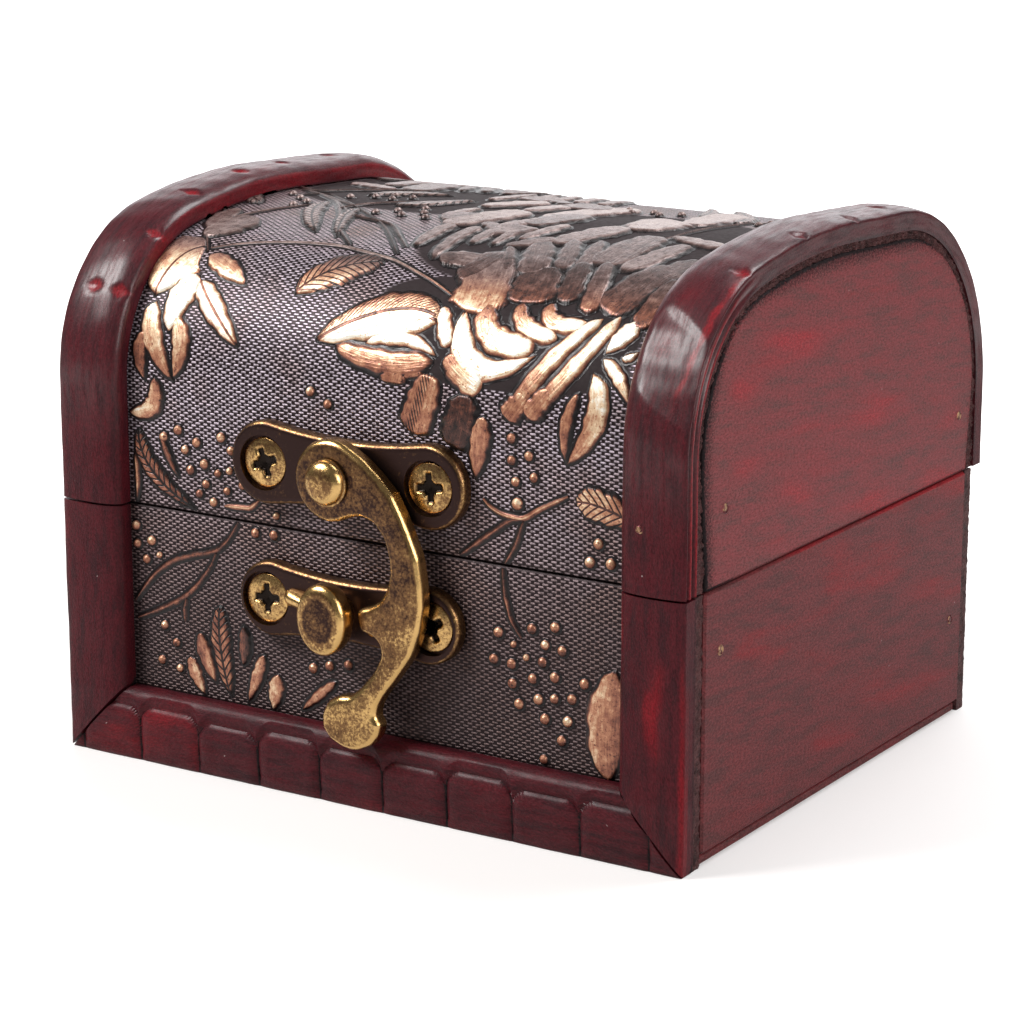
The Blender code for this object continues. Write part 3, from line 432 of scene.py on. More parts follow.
station = np.linspace(0.0, dome_length(0.0), 1100)[:, None]
lap = np.maximum(SKIN_LOW, end_carry(station) + 0.03)
rough_ended("bent_skin", "lid", "lid_skin", dome_outline(station, 0.0), lap, 11, 0.13)
rise = np.linspace(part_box("base_front_facing")[0].z / MM, BASE_TOP, 300)[:, None]
lap = SKIN_LOW + 0 * rise
rough_ended("front_facing", "base", "base_front_facing", (MIDDLE_Y - HALF_DEPTH + 0 * rise, rise, -1.0, 0.0),
            lap, 12, 0.07)
rough_ended("back_facing", "base", "base_back_facing",
            (MIDDLE_Y + HALF_DEPTH + 0 * rise, rise[::-1], 1.0, 0.0), lap, 13, 0.03)

# Inner boards and rails: the carcass between the sides and inside the lid, cut from plain softwood.
# They are sanded and left bare, so pale growth rings and fine fibres show where the box opens.
inside_wood, inside_tree, inside_shader = new_material("sanded_softwood")
inside_place = millimetres(inside_tree)
inside_rings = stretched_noise(inside_place, (0.05, 0.9, 0.9), 4.0)
inside_fibres = stretched_noise(inside_place, (0.8, 7.0, 7.0), 3.0)
inside_colour = blend_colour(ramp(inside_rings, 0.35, 0.65), (0.42, 0.25, 0.14, 1.0),
                             (0.27, 0.14, 0.075, 1.0))
inside_colour = blend_colour(1.0, inside_colour, ramp(inside_fibres, 0.3, 0.75, 0.82, 1.1), "MULTIPLY")
surfaced(inside_shader, inside_colour, ramp(inside_fibres, 0.3, 0.7, 0.55, 0.75), inside_fibres, 0.5, 0.1)
repaint(inside_wood, "base_front_board", "base_back_board", "lid_front_rail", "lid_back_rail")

# Leather sheets: thin leatherette glued over the facings and over the dome. Its ground is pressed
# into a fine weave and rubbed with silver-grey over near-black, and it browns towards the crown.
# The silver on the weave bumps is partly a painted glint, and the threads are painted lighter
# higher up the sheet as painted light from above, with painted shade low down.
LEATHER_FACE = 1.7
LEATHER_THICKNESS = 0.4
LEATHER_REACH = 39.3
LEATHER_LENGTH = dome_length(LEATHER_FACE)
LEATHER_COLUMNS = 90
TURN_ABOUT = 2 * SEAM_Z + LEATHER_LENGTH
BACK_TOP = SEAM_Z + LEATHER_LENGTH + SEAM_Z - BASE_TOP
WEAVE_LENGTH = 1.04
WEAVE_ROW = 0.32
LEATHER_BLACK = (0.020, 0.012, 0.013, 1.0)
# The threads' silver is partly their rubbed colour and partly a painted glint on each weave bump.
THREAD_SILVER_AND_GLINT = (0.69, 0.59, 0.68, 1.0)
THREAD_BROWN = (0.50, 0.34, 0.32, 1.0)
BLOOM_OVALS = (
    # middle x and half width, middle height and half height
    (14.0, 18.5, 75.0, 16.0), (14.5, 17.0, 54.0, 6.8),
)


def on_leather(across, along, lift):
    """Points lifted off the wrapped leather: along is mm up the front from the floor, over and down.

    Below the seam the sheet hangs straight from the outline's ends. Two long low waves of uneven glue
    are added to the lift.
    """
    station = along - SEAM_Z
    y, z, out_y, out_z = dome_outline(station, LEATHER_FACE)
    z = z + np.minimum(station, 0) - np.maximum(station - LEATHER_LENGTH, 0)
    raised = lift + 0.03 * np.sin(across / 4.3 + along / 9.0) + 0.02 * np.sin(across / 2.1 - along / 3.7)
    return np.stack([across + 0 * y, y + out_y * raised, z + out_z * raised], axis=-1)


leather, leather_tree, leather_shader = new_material("woven_leatherette")
leather_uv = shader_node(leather_tree, "UVMap", uv_map="surface").outputs["UV"]
leather_x, leather_s = shader_node(leather_tree, "SeparateXYZ", {0: leather_uv}).outputs[:2]
tarnish = stretched_noise(leather_uv, (0.12, 0.12, 0.12), 4.0)
rub = stretched_noise(leather_uv, (1.3, 1.9, 1.6), 3.0, 0.7)
drift = times_plus(rub, 0.40, leather_x)
weave_x = arithmetic("COSINE", times(drift, 2 * math.pi / WEAVE_LENGTH))
weave_s = arithmetic("COSINE", times(leather_s, math.pi / WEAVE_ROW))
weave_x = times(weave_x, arithmetic("SIGN", weave_s))
threads = times(ramp(weave_x, -0.70, 0.10), ramp(absolute(weave_s), 0.20, 0.95))
turned_x = times(leather_x, -1.0)
turned_s = minus(TURN_ABOUT, leather_s)
from_seam = arithmetic("MINIMUM", leather_s, turned_s)
from_cut = absolute(minus(from_seam, SEAM_MIDDLE))


def bloom_ground(x, s):
    """Share of the smooth ground under the big bloom: two squarish ovals, one inside and nothing outside."""
    share = 0.0
    for middle_x, reach_x, middle_s, reach_s in BLOOM_OVALS:
        across = times_plus(x, 1 / reach_x, -middle_x / reach_x)
        along = times_plus(s, 1 / reach_s, -middle_s / reach_s)
        across = arithmetic("POWER", absolute(across), 3.0)
        along = arithmetic("POWER", absolute(along), 3.0)
        share = larger(ramp(plus(across, along), 0.85, 1.0, 1.0, 0.0), share)
    return share


ground_share = larger(bloom_ground(leather_x, leather_s), bloom_ground(turned_x, turned_s))
ground_share = larger(ground_share, ramp(absolute(leather_x), 38.2, 38.6))
ground_share = larger(ground_share, ramp(from_cut, 0.14, 0.19, 1.0, 0.0))
thread_share = times(threads, minus(1.0, ground_share))
# Thread brightness rises with height from the seam: painted light from above and painted shade low down; the
# rub noise is wear.
rubbed_and_lit_share = times(ramp(from_seam, 14.0, 44.0, 0.27, 0.78), ramp(rub, 0.30, 0.68, 0.35, 1.25))
rubbed_and_lit_share = times(thread_share, rubbed_and_lit_share)
brown_share = larger(ramp(from_seam, 22.0, 42.0, 0.85, 0.0), ramp(from_seam, 54.0, 78.0, 0.0, 0.6))
brown_share = plus(brown_share, ramp(tarnish, 0.45, 0.70, 0.0, 0.65))
thread_colour = blend_colour(brown_share, THREAD_SILVER_AND_GLINT, THREAD_BROWN)
leather_roughness = times_plus(ground_share, 0.30, ramp(rub, 0.3, 0.7, 0.32, 0.48))
surfaced(leather_shader, blend_colour(rubbed_and_lit_share, LEATHER_BLACK, thread_colour), leather_roughness,
         thread_share, 0.8, 0.10)
feed(leather_shader, {"Metallic": ramp(ground_share, 0.0, 1.0, 0.45, 0.0), "Specular IOR Level": 0.2})

for node_name, body_name, rows, low, high in (
        ("base_front_leather", "base", 60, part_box("base_front_leather")[0].z / MM, BASE_TOP),
        ("lid_leather", "lid", 240, SEAM_Z, SEAM_Z + LEATHER_LENGTH),
        ("base_back_leather", "base", 60, BACK_TOP, TURN_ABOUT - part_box("base_back_leather")[0].z / MM)):
    across = np.linspace(-LEATHER_REACH, LEATHER_REACH, LEATHER_COLUMNS)
    along, across = np.meshgrid(np.linspace(low, high, rows), across, indexing="ij")
    sheet_faces = grid_faces(rows, LEATHER_COLUMNS).tolist()
    sheet_mesh = skinned(node_name + "_sheet", on_leather(across, along, 0.0), sheet_faces,
                         np.stack([across, along], axis=-1), {})
    sheet = add_piece(node_name + "_sheet", sheet_mesh, leather, body_name, "embossed_leather", node_name)
    thicken = sheet.modifiers.new("thickness", "SOLIDIFY")
    thicken.thickness = LEATHER_THICKNESS * MM
    thicken.offset = -1.0

# Embossing: peonies, leaves and berries pressed up from the same leatherette, rubbed with copper on
# the crests, browned between and outlined by a dark groove. The cream-gold on the shoulder's crests
# and the lighter upper side of many leaves are painted highlight. A traditional scroll.
RELIEF = 0.30
GROOVE_WIDTH = 0.24
SIGHT_REACH = 32.05
FOOT_HEIGHT = 8.2
SCROLL_MIDDLE = 79.0
CHEVRON_PITCH = 0.95
SLANT_PITCH = 0.62
GROOVE_BLACK = (0.010, 0.007, 0.008, 1.0)
COPPER_STOPS = (
    # share of the tone and colour, from the hollows to the crests; the cream at the top end is painted
    # highlight
    (0.05, (0.010, 0.007, 0.007, 1.0)), (0.28, (0.070, 0.028, 0.022, 1.0)), (0.48, (0.26, 0.092, 0.056, 1.0)),
    (0.66, (0.50, 0.23, 0.13, 1.0)), (0.84, (0.84, 0.62, 0.40, 1.0)), (0.97, (0.98, 0.92, 0.80, 1.0)),
)
CROWN_SHEEN_STOPS = (
    # the duller, greyer tones towards the crown, a painted sheen of the sky on the upper relief
    (0.02, (0.022, 0.014, 0.013, 1.0)), (0.36, (0.115, 0.072, 0.066, 1.0)), (0.64, (0.31, 0.245, 0.235, 1.0)),
)
# The cream tones of the shoulder's leaves and petals, and the tone across that lightens one side, are painted
# highlight.
LEAVES = (
    # start x and height, middle, tip, half width, tone at start and tip, tone across, kind of veins
    (-27.3, 60.1, -29.5, 57.9, -30.3, 53.1, 3.76, 0.55, 1, -0.3, 4),
    (-25.9, 58.9, -23.0, 57.7, -19.3, 55.6, 1.34, 0.55, 0.95, 0.25, 0),
    (-25.0, 55.3, -22.1, 52.4, -17.6, 48.5, 1.4, 1, 0.95, 0, 4),
    (-25.6, 55.9, -26.8, 53.1, -27.1, 49.1, 1.81, 1, 1, 0, 0),
    (-29.8, 52.1, -29.2, 48.4, -25.9, 43.9, 1.37, 0.95, 0.55, -0.1, 0),
    (-26.7, 50.9, -25.1, 47.7, -25.7, 44.1, 1.25, 0.9, 0.55, 0.1, 0),
    (-30.3, 48.7, -30.6, 46.5, -29.7, 43.5, 1, 0.5, 0.5, 0.1, 0),
    (-25.8, 68.4, -27.4, 65.5, -28.8, 62.1, 2.86, 0.42, 0.55, 0, 0),
    (-30.2, 70.8, -30.4, 67.6, -29.5, 63.7, 1.59, 0.4, 0.46, 0, 0),
    (-4.1, 61.0, -8.9, 59.0, -12.2, 55.2, 2.44, 0.45, 0.85, -0.3, 1),
    (6.7, 54.0, 0.5, 54.1, -7.4, 50.3, 2.75, 0.78, 0.9, -0.3, 3),
    (-1.2, 50.6, 3.1, 51.6, 7.7, 50.2, 0.95, 0.98, 0.94, 0, 0),
    (9.6, 55.2, 13.0, 49.7, 19.3, 51.4, 1.36, 1, 1, -0.08, 0),
    (29.9, 56.6, 28.9, 55.0, 27.5, 52.8, 1.24, 1, 1, 0.05, 0),
    (29.5, 52.4, 30.4, 52.6, 31.3, 53.3, 0.55, 1, 0.95, 0, 0),
    (27.4, 52.1, 29.7, 50.4, 31.5, 47.9, 0.85, 1, 0.8, 0.1, 0),
    (26.8, 50.3, 27.9, 46.0, 24.8, 41.0, 1.35, 1, 0.58, -0.15, 0),
    (25.5, 48.3, 24.5, 44.9, 24.6, 41.2, 0.83, 0.6, 0.5, 0.15, 0),
    (14.7, 44.6, 14.2, 41.8, 13.8, 38.1, 1.33, 0.66, 0.5, 0.1, 0),
    (-28.4, 43.8, -28.7, 40.6, -31.9, 39.6, 1.2, 0.62, 0.8, 0.2, 0),
    (-22.7, 77.7, -21.6, 72.9, -16.7, 66.5, 1.25, 0.46, 0.55, 0.1, 1),
    (-17.3, 75.9, -16.6, 72.0, -13.3, 65.8, 1, 0.44, 0.55, 0.1, 1),
    (-27.6, 37.6, -26.6, 35.2, -25.3, 33.0, 0.55, 0.45, 0.4, -0.18, 0),
    (-30.6, 37.8, -28.8, 33.4, -23.2, 29.8, 1.15, 0.5, 0.45, 0, 1),
    (-31.3, 35.0, -31.0, 32.3, -31.2, 29.6, 0.4, 0.7, 0.6, -0.18, 0),
    (25.9, 37.2, 29.0, 37.0, 33.5, 35.6, 1.8, 0.8, 0.6, 0, 1),
    (-21.9, 84.4, -19.4, 88.5, -14.4, 90.4, 1.3, 0.5, 0.6, 0, 1),
    (-15.2, 79.9, -12.1, 82.4, -9.4, 87.7, 1.2, 0.5, 0.6, 0, 1),
    (-29.9, 74.1, -32.5, 76.2, -34.9, 80.4, 1.2, 0.5, 0.55, 0, 1),
    (-19.9, 19.0, -19.9, 14.5, -18.6, 9.0, 1.35, 0.45, 0.6, 0, 1),
    (-22.7, 15.6, -22.2, 13.2, -20.7, 10.2, 1.05, 0.45, 0.6, -0.18, 0),
    (-24.2, 12.6, -23.6, 10.8, -22.3, 8.6, 0.95, 0.65, 0.7, -0.18, 0),
    (-16.8, 17.3, -16.6, 15.0, -16.9, 12.8, 0.9, 0.3, 0.35, 0.18, 0),
    (-14.0, 14.4, -14.9, 12.0, -16.2, 8.8, 0.9, 0.6, 0.6, 0.18, 0),
    (-12.2, 12.4, -12.5, 10.6, -12.9, 8.4, 1.1, 0.7, 0.7, 0.18, 0),
    (-4.3, 13.0, -6.5, 11.2, -9.0, 9.0, 0.7, 0.6, 0.65, 0.18, 0),
    (30.6, 19.8, 29.6, 13.5, 30.0, 8.0, 2.4, 0.62, 0.55, 0.18, 0),
    (6.5, 54.5, 0.4, 54.6, -7.4, 50.4, 2.15, 0.78, 0.84, -0.3, 3),
    (9.3, 55.1, 12.4, 49.5, 19.2, 51.4, 1.25, 1, 0.98, -0.1, 0),
)
PETALS = (
    # as leaves, with blunt ends
    (6.6, 55.8, 7.7, 53.5, 9.0, 51.3, 1.12, 1, 0.95, 0, 0),
    (7.1, 66.5, 9.7, 59.8, 10.2, 55.4, 3.38, 0.3, 0.85, 0, 0),
    (12.2, 57.0, 13.5, 53.2, 19.2, 52.4, 1.72, 0.55, 1, 0, 0),
    (15.8, 57.5, 16.9, 54.9, 21.4, 53.6, 1.24, 0.5, 1, 0, 0),
    (19.2, 58.0, 20.0, 55.6, 24.3, 55.6, 1.22, 0.5, 1, 0, 0),
    (25.5, 56.6, 21.7, 51.6, 17.5, 44.8, 1.20, 1, 0.55, -0.12, 0),
    (27.4, 57.2, 24.9, 51.9, 19.9, 45.0, 1.12, 1, 0.62, -0.10, 0),
    (19.4, 47.5, 18.3, 46.1, 17.3, 44.7, 1.45, 0.66, 0.50, 0, 0),
    (22.3, 48.3, 21.0, 46.7, 19.8, 45.1, 1.40, 0.70, 0.55, 0, 0),
    (-4.8, 49.9, 1.4, 48.8, 7.4, 49.5, 1.5, 0.66, 0.62, -0.24, 0),
    (2.9, 49.0, 3.0, 47.9, 3.0, 46.6, 1.75, 0.62, 0.55, 0, 0),
    (5.0, 49.3, 5.3, 48.5, 5.6, 47.4, 1.35, 0.62, 0.55, 0, 0),
    (0.7, 49.4, 0.3, 48.8, -0.1, 47.8, 1.2, 0.62, 0.55, 0, 0),
    (9.1, 50.5, 11.2, 48.7, 14.0, 47.4, 1.6, 0.62, 0.95, -0.1, 0),
    (12.2, 46.7, 11.8, 44.0, 10.8, 40.9, 2.14, 0.34, 0.16, 0, 0),
    (14.7, 63.7, 15.7, 60.2, 16.2, 57.3, 3.13, 0.26, 0.42, 0, 0),
    (18.2, 66.1, 19.6, 61.7, 20.4, 58.0, 1.74, 0.24, 0.34, 0, 0),
    (20.7, 67.0, 22.6, 61.3, 23.5, 57.0, 1.45, 0.28, 0.6, 0, 0),
    (27.8, 67.6, 27.0, 61.7, 25.5, 57.3, 2.73, 0.28, 0.44, 0, 0),
    (30.5, 64.0, 30.4, 59.5, 30.1, 55.7, 1.6, 0.34, 0.46, 0, 0),
    (2.0, 62.8, 4.0, 63.5, 7.0, 63.2, 1.94, 0.34, 0.48, 0, 0),
    (8.0, 66.1, 7.7, 62.7, 5.9, 60.0, 1.85, 0.26, 0.34, 0, 0),
    (7.5, 68.5, 9.7, 64.7, 11.2, 61.8, 1.01, 0.28, 0.34, 0, 0),
    (9.8, 71.5, 12.4, 66.1, 14.2, 61.7, 2.07, 0.32, 0.4, 0, 0),
    (13.1, 72.7, 15.2, 67.9, 17.1, 63.4, 1.46, 0.3, 0.36, 0, 0),
    (16.0, 73.4, 17.6, 68.4, 18.7, 64.1, 1.28, 0.3, 0.4, 0, 0),
    (20.8, 77.1, 20.6, 71.6, 20.5, 65.4, 2.93, 0.34, 0.4, 0, 0),
    (25.7, 74.9, 24.8, 70.2, 23.7, 64.5, 1.96, 0.42, 0.5, 0, 0),
    (30.2, 69.7, 29.0, 66.1, 28.2, 61.6, 2.32, 0.28, 0.36, 0, 0),
    (-6.6, 76.1, -3.9, 76.7, -0.2, 76.2, 2.63, 0.36, 0.42, 0, 0),
    (-0.4, 75.4, 1.6, 74.4, 4.7, 72.0, 1.34, 0.34, 0.38, 0, 0),
    (4.7, 76.1, 4.1, 74.7, 2.8, 74.6, 3.75, 0.4, 0.48, 0, 0),
    (4.4, 76.4, 5.8, 80.2, 7.0, 85.1, 2.6, 0.36, 0.4, 0, 0),
    (11.3, 70.6, 13.3, 74.9, 15.2, 80.2, 2.33, 0.46, 0.52, 0, 0),
    (7.0, 68.1, 9.0, 69.9, 11.1, 72.5, 1.42, 0.36, 0.4, 0, 0),
    (17.5, 79.2, 17.0, 84.0, 17.7, 87.1, 3.64, 0.62, 0.7, 0, 0),
    (22.3, 77.6, 25.8, 76.6, 30.1, 75.3, 1.46, 0.48, 0.55, 0, 0),
    (20.1, 85.4, 19.7, 91.5, 20.2, 96.8, 2.79, 0.6, 0.66, 0, 0),
    (7.6, 48.2, 6.9, 45.3, 5.7, 41.8, 2.15, 0.68, 0.5, -0.1, 2),
    (7.3, 70.4, 8.0, 74.3, 9.0, 78.3, 1.23, 0.44, 0.54, 0, 0),
    (5.5, 67.9, 5.3, 71.6, 5.8, 74.3, 1.07, 0.42, 0.5, 0, 0),
    (3.0, 67.6, 2.8, 71.0, 3.0, 73.5, 1.23, 0.42, 0.5, 0, 0),
    (1.3, 62.8, 0.3, 68.9, 0.4, 73.6, 1.28, 0.42, 0.5, 0, 0),
    (-2.6, 65.3, -3.2, 70.0, -2.9, 73.6, 1.34, 0.42, 0.5, 0, 0),
    (-4.4, 73.2, -1.7, 77.5, 0.4, 83.4, 2.58, 0.56, 0.66, 0, 0),
    (1.6, 73.4, 3.3, 76.4, 4.6, 79.9, 1.45, 0.5, 0.58, 0, 0),
    (4.7, 79.6, 6.0, 87.4, 8.9, 93.6, 2.53, 0.6, 0.74, 0, 0),
    (-5.9, 83.7, -4.5, 88.3, -1.9, 92.0, 2.09, 0.58, 0.66, 0, 0),
    (-0.2, 83.3, 1.1, 89.2, 3.4, 94.1, 1.72, 0.54, 0.64, 0, 0),
    (-6.6, 76.3, -5.9, 78.8, -5.0, 82.0, 1.07, 0.48, 0.56, 0, 0),
)
STEMS = (
    # half width, tone, then x and height of each point that the stem passes
    (0.24, 0.9, (-26.6, 60.2), (-22.7, 61.9), (-17.0, 63.2), (-10.8, 63.6), (-3.5, 61.9), (-3.7, 62.4),
     (-1.8, 61.2), (3.6, 59.1), (6.8, 57.4)),
    (0.24, 0.7, (-26.7, 59.7), (-29.0, 62.8), (-29.6, 67.2), (-27.2, 71.6), (-24.0, 75.8)),
    (0.38, 0.55, (-31.8, 18.0), (-29.0, 21.5), (-26.0, 23.6), (-22.5, 24.7), (-20.3, 25.2), (-18.5, 26.8),
     (-17.2, 29.0)),
    (0.38, 0.55, (-31.5, 16.0), (-28.0, 17.6), (-25.0, 19.2), (-23.0, 21.0), (-21.0, 23.5), (-20.4, 25.0)),
    (0.36, 0.55, (-24.6, 19.2), (-24.9, 17.8), (-24.8, 16.6)),
    (0.34, 0.85, (-19.0, 30.6), (-15.5, 30.8), (-14.3, 31.8)),
    (0.34, 0.6, (11.7, 29.5), (15.0, 32.0), (18.0, 34.2), (19.5, 34.4)),
    (0.32, 0.85, (14.6, 36.0), (15.4, 35.2), (17.0, 34.6), (19.5, 34.4), (21.5, 35.8), (24.9, 37.6)),
    (0.34, 0.55, (19.5, 34.2), (18.6, 31.5), (17.3, 29.4)),
    (0.34, 0.55, (17.0, 28.9), (17.3, 26.0), (18.0, 23.5), (19.3, 21.7)),
    (0.3, 0.5, (-28.4, 82.6), (-22.1, 78.4), (-18.7, 74.1), (-14.5, 67.9), (-10.4, 64.0)),
    (0.3, 0.5, (-23.1, 79.4), (-16.8, 73.4), (-9.9, 71.6), (-3.6, 64.9)),
    (0.28, 0.5, (-35.6, 87.2), (-28.4, 82.6), (-25.6, 87.2), (-20.7, 91.9)),
    (0.34, 1, (2.6, 62.8), (4.9, 63.4), (7.1, 63.3)),
    (0.3, 0.5, (-30.5, 83.2), (-25.2, 80.9), (-22.1, 78.9), (-18.2, 76.6)),
    (0.3, 0.55, (-15.1, 82.1), (-18.3, 78.9), (-19.9, 75.3)),
    (0.22, 0.5, (-28.5, 79.2), (-26.7, 83.0), (-17.4, 76.1), (-10.4, 70.9), (-3.5, 63.0)),
    (0.24, 0.62, (20.5, 73.7), (22.2, 76.9), (22.8, 85.1), (23.9, 92.9)),
)
BERRIES = (
    # x, height and radius
    (-31.4, 26.7, 0.66), (-31.3, 24.6, 0.62), (-29.3, 25.2, 0.66), (-30.0, 23.0, 0.62), (-28.2, 23.7, 0.45),
    (-27.7, 15.7, 0.6), (-26.1, 13.9, 0.6), (-25.7, 11.0, 0.55), (-28.2, 11.6, 0.6), (-7.4, 14.0, 0.68),
    (-5.2, 14.6, 0.68), (-2.7, 15.1, 0.68), (-25.2, 38.3, 0.66), (-27.2, 37.3, 0.66), (-22.7, 37.2, 0.66),
    (-24.3, 36.2, 0.6), (-19.3, 38.2, 0.66), (-18.0, 36.9, 0.6), (-21.7, 34.9, 0.66), (-23.6, 34.0, 0.66),
    (-19.8, 34.1, 0.55), (-18.2, 34.6, 0.5), (-21.5, 32.7, 0.6), (-16.5, 33.2, 0.55), (-18.6, 32.3, 0.55),
    (-22.4, 31.5, 0.6), (-20.5, 30.8, 0.6), (-12.0, 30.4, 0.5), (-14.9, 28.1, 0.66), (-12.4, 28.2, 0.66),
    (-7.3, 44.7, 0.62), (-5.0, 43.6, 0.62), (18.8, 36.0, 0.75), (18.6, 38.3, 0.6), (20.8, 39.0, 0.6),
    (18.1, 40.5, 0.62), (20.2, 41.2, 0.62), (18.1, 42.8, 0.66), (28.5, 33.1, 0.66), (27.5, 31.0, 0.7),
    (30.0, 31.2, 0.7), (16.5, 21.9, 0.68), (20.6, 22.9, 0.68), (23.4, 23.5, 0.68), (22.2, 21.4, 0.62),
    (24.3, 21.1, 0.68), (18.4, 20.9, 0.45), (15.9, 18.9, 0.68), (18.1, 18.7, 0.68), (19.9, 19.7, 0.45),
    (21.9, 19.5, 0.68), (20.7, 17.5, 0.68), (23.4, 18.1, 0.68), (27.0, 18.0, 0.68), (18.2, 16.6, 0.68),
    (21.4, 15.4, 0.68), (23.4, 15.8, 0.62), (25.5, 16.1, 0.68), (19.0, 14.5, 0.68), (22.2, 13.4, 0.68),
    (25.0, 13.6, 0.68), (24.3, 11.4, 0.68), (22.1, 9.0, 0.6), (-17.7, 82.9, 0.6), (-20.3, 83.4, 0.6),
    (-19.1, 85.7, 0.6), (-22.8, 81.9, 0.6), (-16.4, 85.2, 0.6), (-25.3, 76.8, 0.6), (-27.2, 78.2, 0.6),
    (-25.8, 74.9, 0.6), (-29.4, 79.8, 0.6), (-32.6, 70.3, 0.6), (-34.1, 67.3, 0.6), (-11.3, 75.4, 0.6),
    (-9.3, 77.0, 0.6), (-12.9, 77.1, 0.6), (-10.6, 79.2, 0.6), (-14.8, 75.4, 0.6), (-7.9, 75.1, 0.6),
)


def strap_relief(spine, half_width, end_gap, across_steps, grow):
    """Grids on flat leather along spines: place, height share, and UV along and across, in mm.

    A point is its spine point plus the unit normal times a share from -1 to 1 of the half width and a
    groove. The height is a smooth shoulder of the distance inside the nearer edge or end.
    """
    slope = np.gradient(spine, axis=1)
    length = np.hypot(slope[..., 0], slope[..., 1]).clip(1e-6)
    sideways = np.stack([-slope[..., 1], slope[..., 0]], axis=-1) / length[..., None]
    share = np.linspace(-1, 1, across_steps)
    offset = share * (half_width + GROOVE_WIDTH)[..., None]
    place = spine[:, :, None] - sideways[:, :, None] * offset[..., None]
    inside = np.minimum(half_width[..., None] - np.abs(offset), end_gap[..., None])
    walked = np.cumsum(length, axis=1)[..., None] + 0 * offset
    return place, pressed(inside / grow), np.stack([walked, offset], axis=-1)


def leaf_relief(rows, blunt=False):
    """Leaves on a curve through start, middle and tip. The half width along it is a power of the way
    from the start times a power of the way to the tip, and on blunt ones a superellipse."""
    table = np.array([row[:10] for row in rows])
    start, middle, tip = (table[:, None, first:first + 2] for first in (0, 2, 4))
    reach = GROOVE_WIDTH / np.hypot(*(table[:, 4:6] - table[:, 0:2]).T)[:, None]
    step = np.linspace(0, 1, 31)[None] * (1 + 2 * reach) - reach
    t = step[..., None]
    spine = start * (1 - t) * (1 - 2 * t) + 4 * middle * t * (1 - t) + tip * t * (2 * t - 1)
    inside = step.clip(0, 1)
    if blunt:
        profile = (1 - np.abs(2 * inside - 1) ** 4.2) ** 0.5 * (0.84 + 0.24 * inside)
    else:
        profile = inside ** 0.5 * (1 - inside) ** 0.62 / (0.446 ** 0.5 * 0.554 ** 0.62)
    ragged = 1 + 0.05 * np.sin(step * 17.0 + table[:, :1] * 9.1)
    ragged = ragged + 0.05 * np.sin(step * 31.0 + table[:, 1:2] * 7.3)
    half = table[:, 6:7] * profile * ragged
    end_gap = np.minimum(step, 1 - step) / reach * GROOVE_WIDTH * (1.6 if blunt else 6.0)
    place, height, uv = strap_relief(spine, half, end_gap, 15, 0.55 if blunt else 0.36)
    cross = np.linspace(-1, 1, 15) * table[:, 9][:, None, None]
    tone = (table[:, 7:8] + (table[:, 8:9] - table[:, 7:8]) * inside)[..., None] + cross + 0 * height
    veins = np.array([row[10] for row in rows])[:, None, None] + 0 * height
    return place, height, uv, tone, veins


def petal_relief(rows):
    """Petals: leaves with blunt ends."""
    return leaf_relief(rows, True)


def walked_along(points):
    """The length walked along a line of points, at each of them."""
    return np.concatenate([[0], np.cumsum(np.hypot(*np.diff(points, axis=0).T))])


def eased_path(points, count, rounds):
    """Even steps along the straight lines between points, whose corners a running mean then rounds."""
    walk = walked_along(points)
    even = np.linspace(0, walk[-1], count)
    path = np.stack([np.interp(even, walk, points[:, 0]), np.interp(even, walk, points[:, 1])], axis=-1)
    for _ in range(rounds):
        path[1:-1] = (path[:-2] + path[1:-1] + path[2:]) / 3
    return path


def stem_relief(rows):
    """Stems: eased paths that thin out at both ends."""
    spines = np.array([eased_path(np.array(row[2:]), 64, 14) for row in rows])
    table = np.array([row[:2] for row in rows])
    half = table[:, :1] * np.sin(np.linspace(0.12, math.pi - 0.12, 64)) ** 0.3
    place, height, uv = strap_relief(spines, half, 0 * half + 1, 7, 0.26)
    return place, height * 0.8, uv, table[:, 1][:, None, None] + 0 * height, 0 * height


def round_angles(count):
    """Even angles once round a circle."""
    return np.linspace(0, 2 * math.pi, count + 1)[:-1]


def berry_relief(rows):
    """Berries: round domes, each a polar grid whose height is the root of one less the radius squared."""
    table = np.array(rows)[:, :, None, None]
    angle = round_angles(12)
    ring = np.array([1.42, 1.06, 0.90, 0.55, 0.02])[:, None]
    reach = table[:, 2] * 0.88 * ring
    place = np.stack([table[:, 0] + reach * np.cos(angle), table[:, 1] + reach * np.sin(angle)], axis=-1)
    height = np.sqrt((1 - ring ** 2).clip(0)) + 0 * reach + 0 * angle
    # Each berry is toned lighter on its upper side and darker below: painted light from above.
    tone = 0.58 + 0.10 * np.sin(table[:, 0] * 5.1) + 0.24 * ring * np.sin(angle) + 0 * height
    return place, height * 1.7, place, tone, 0 * height


def toned(value, stops):
    """A colour ramp through its stops."""
    coloured = shader_node(value.id_data, "ValToRGB", {0: value})
    for position, colour in stops[2:]:
        coloured.color_ramp.elements.new(position)
    for element, (position, colour) in zip(coloured.color_ramp.elements, stops):
        element.position, element.color = position, colour
    return coloured.outputs["Color"]


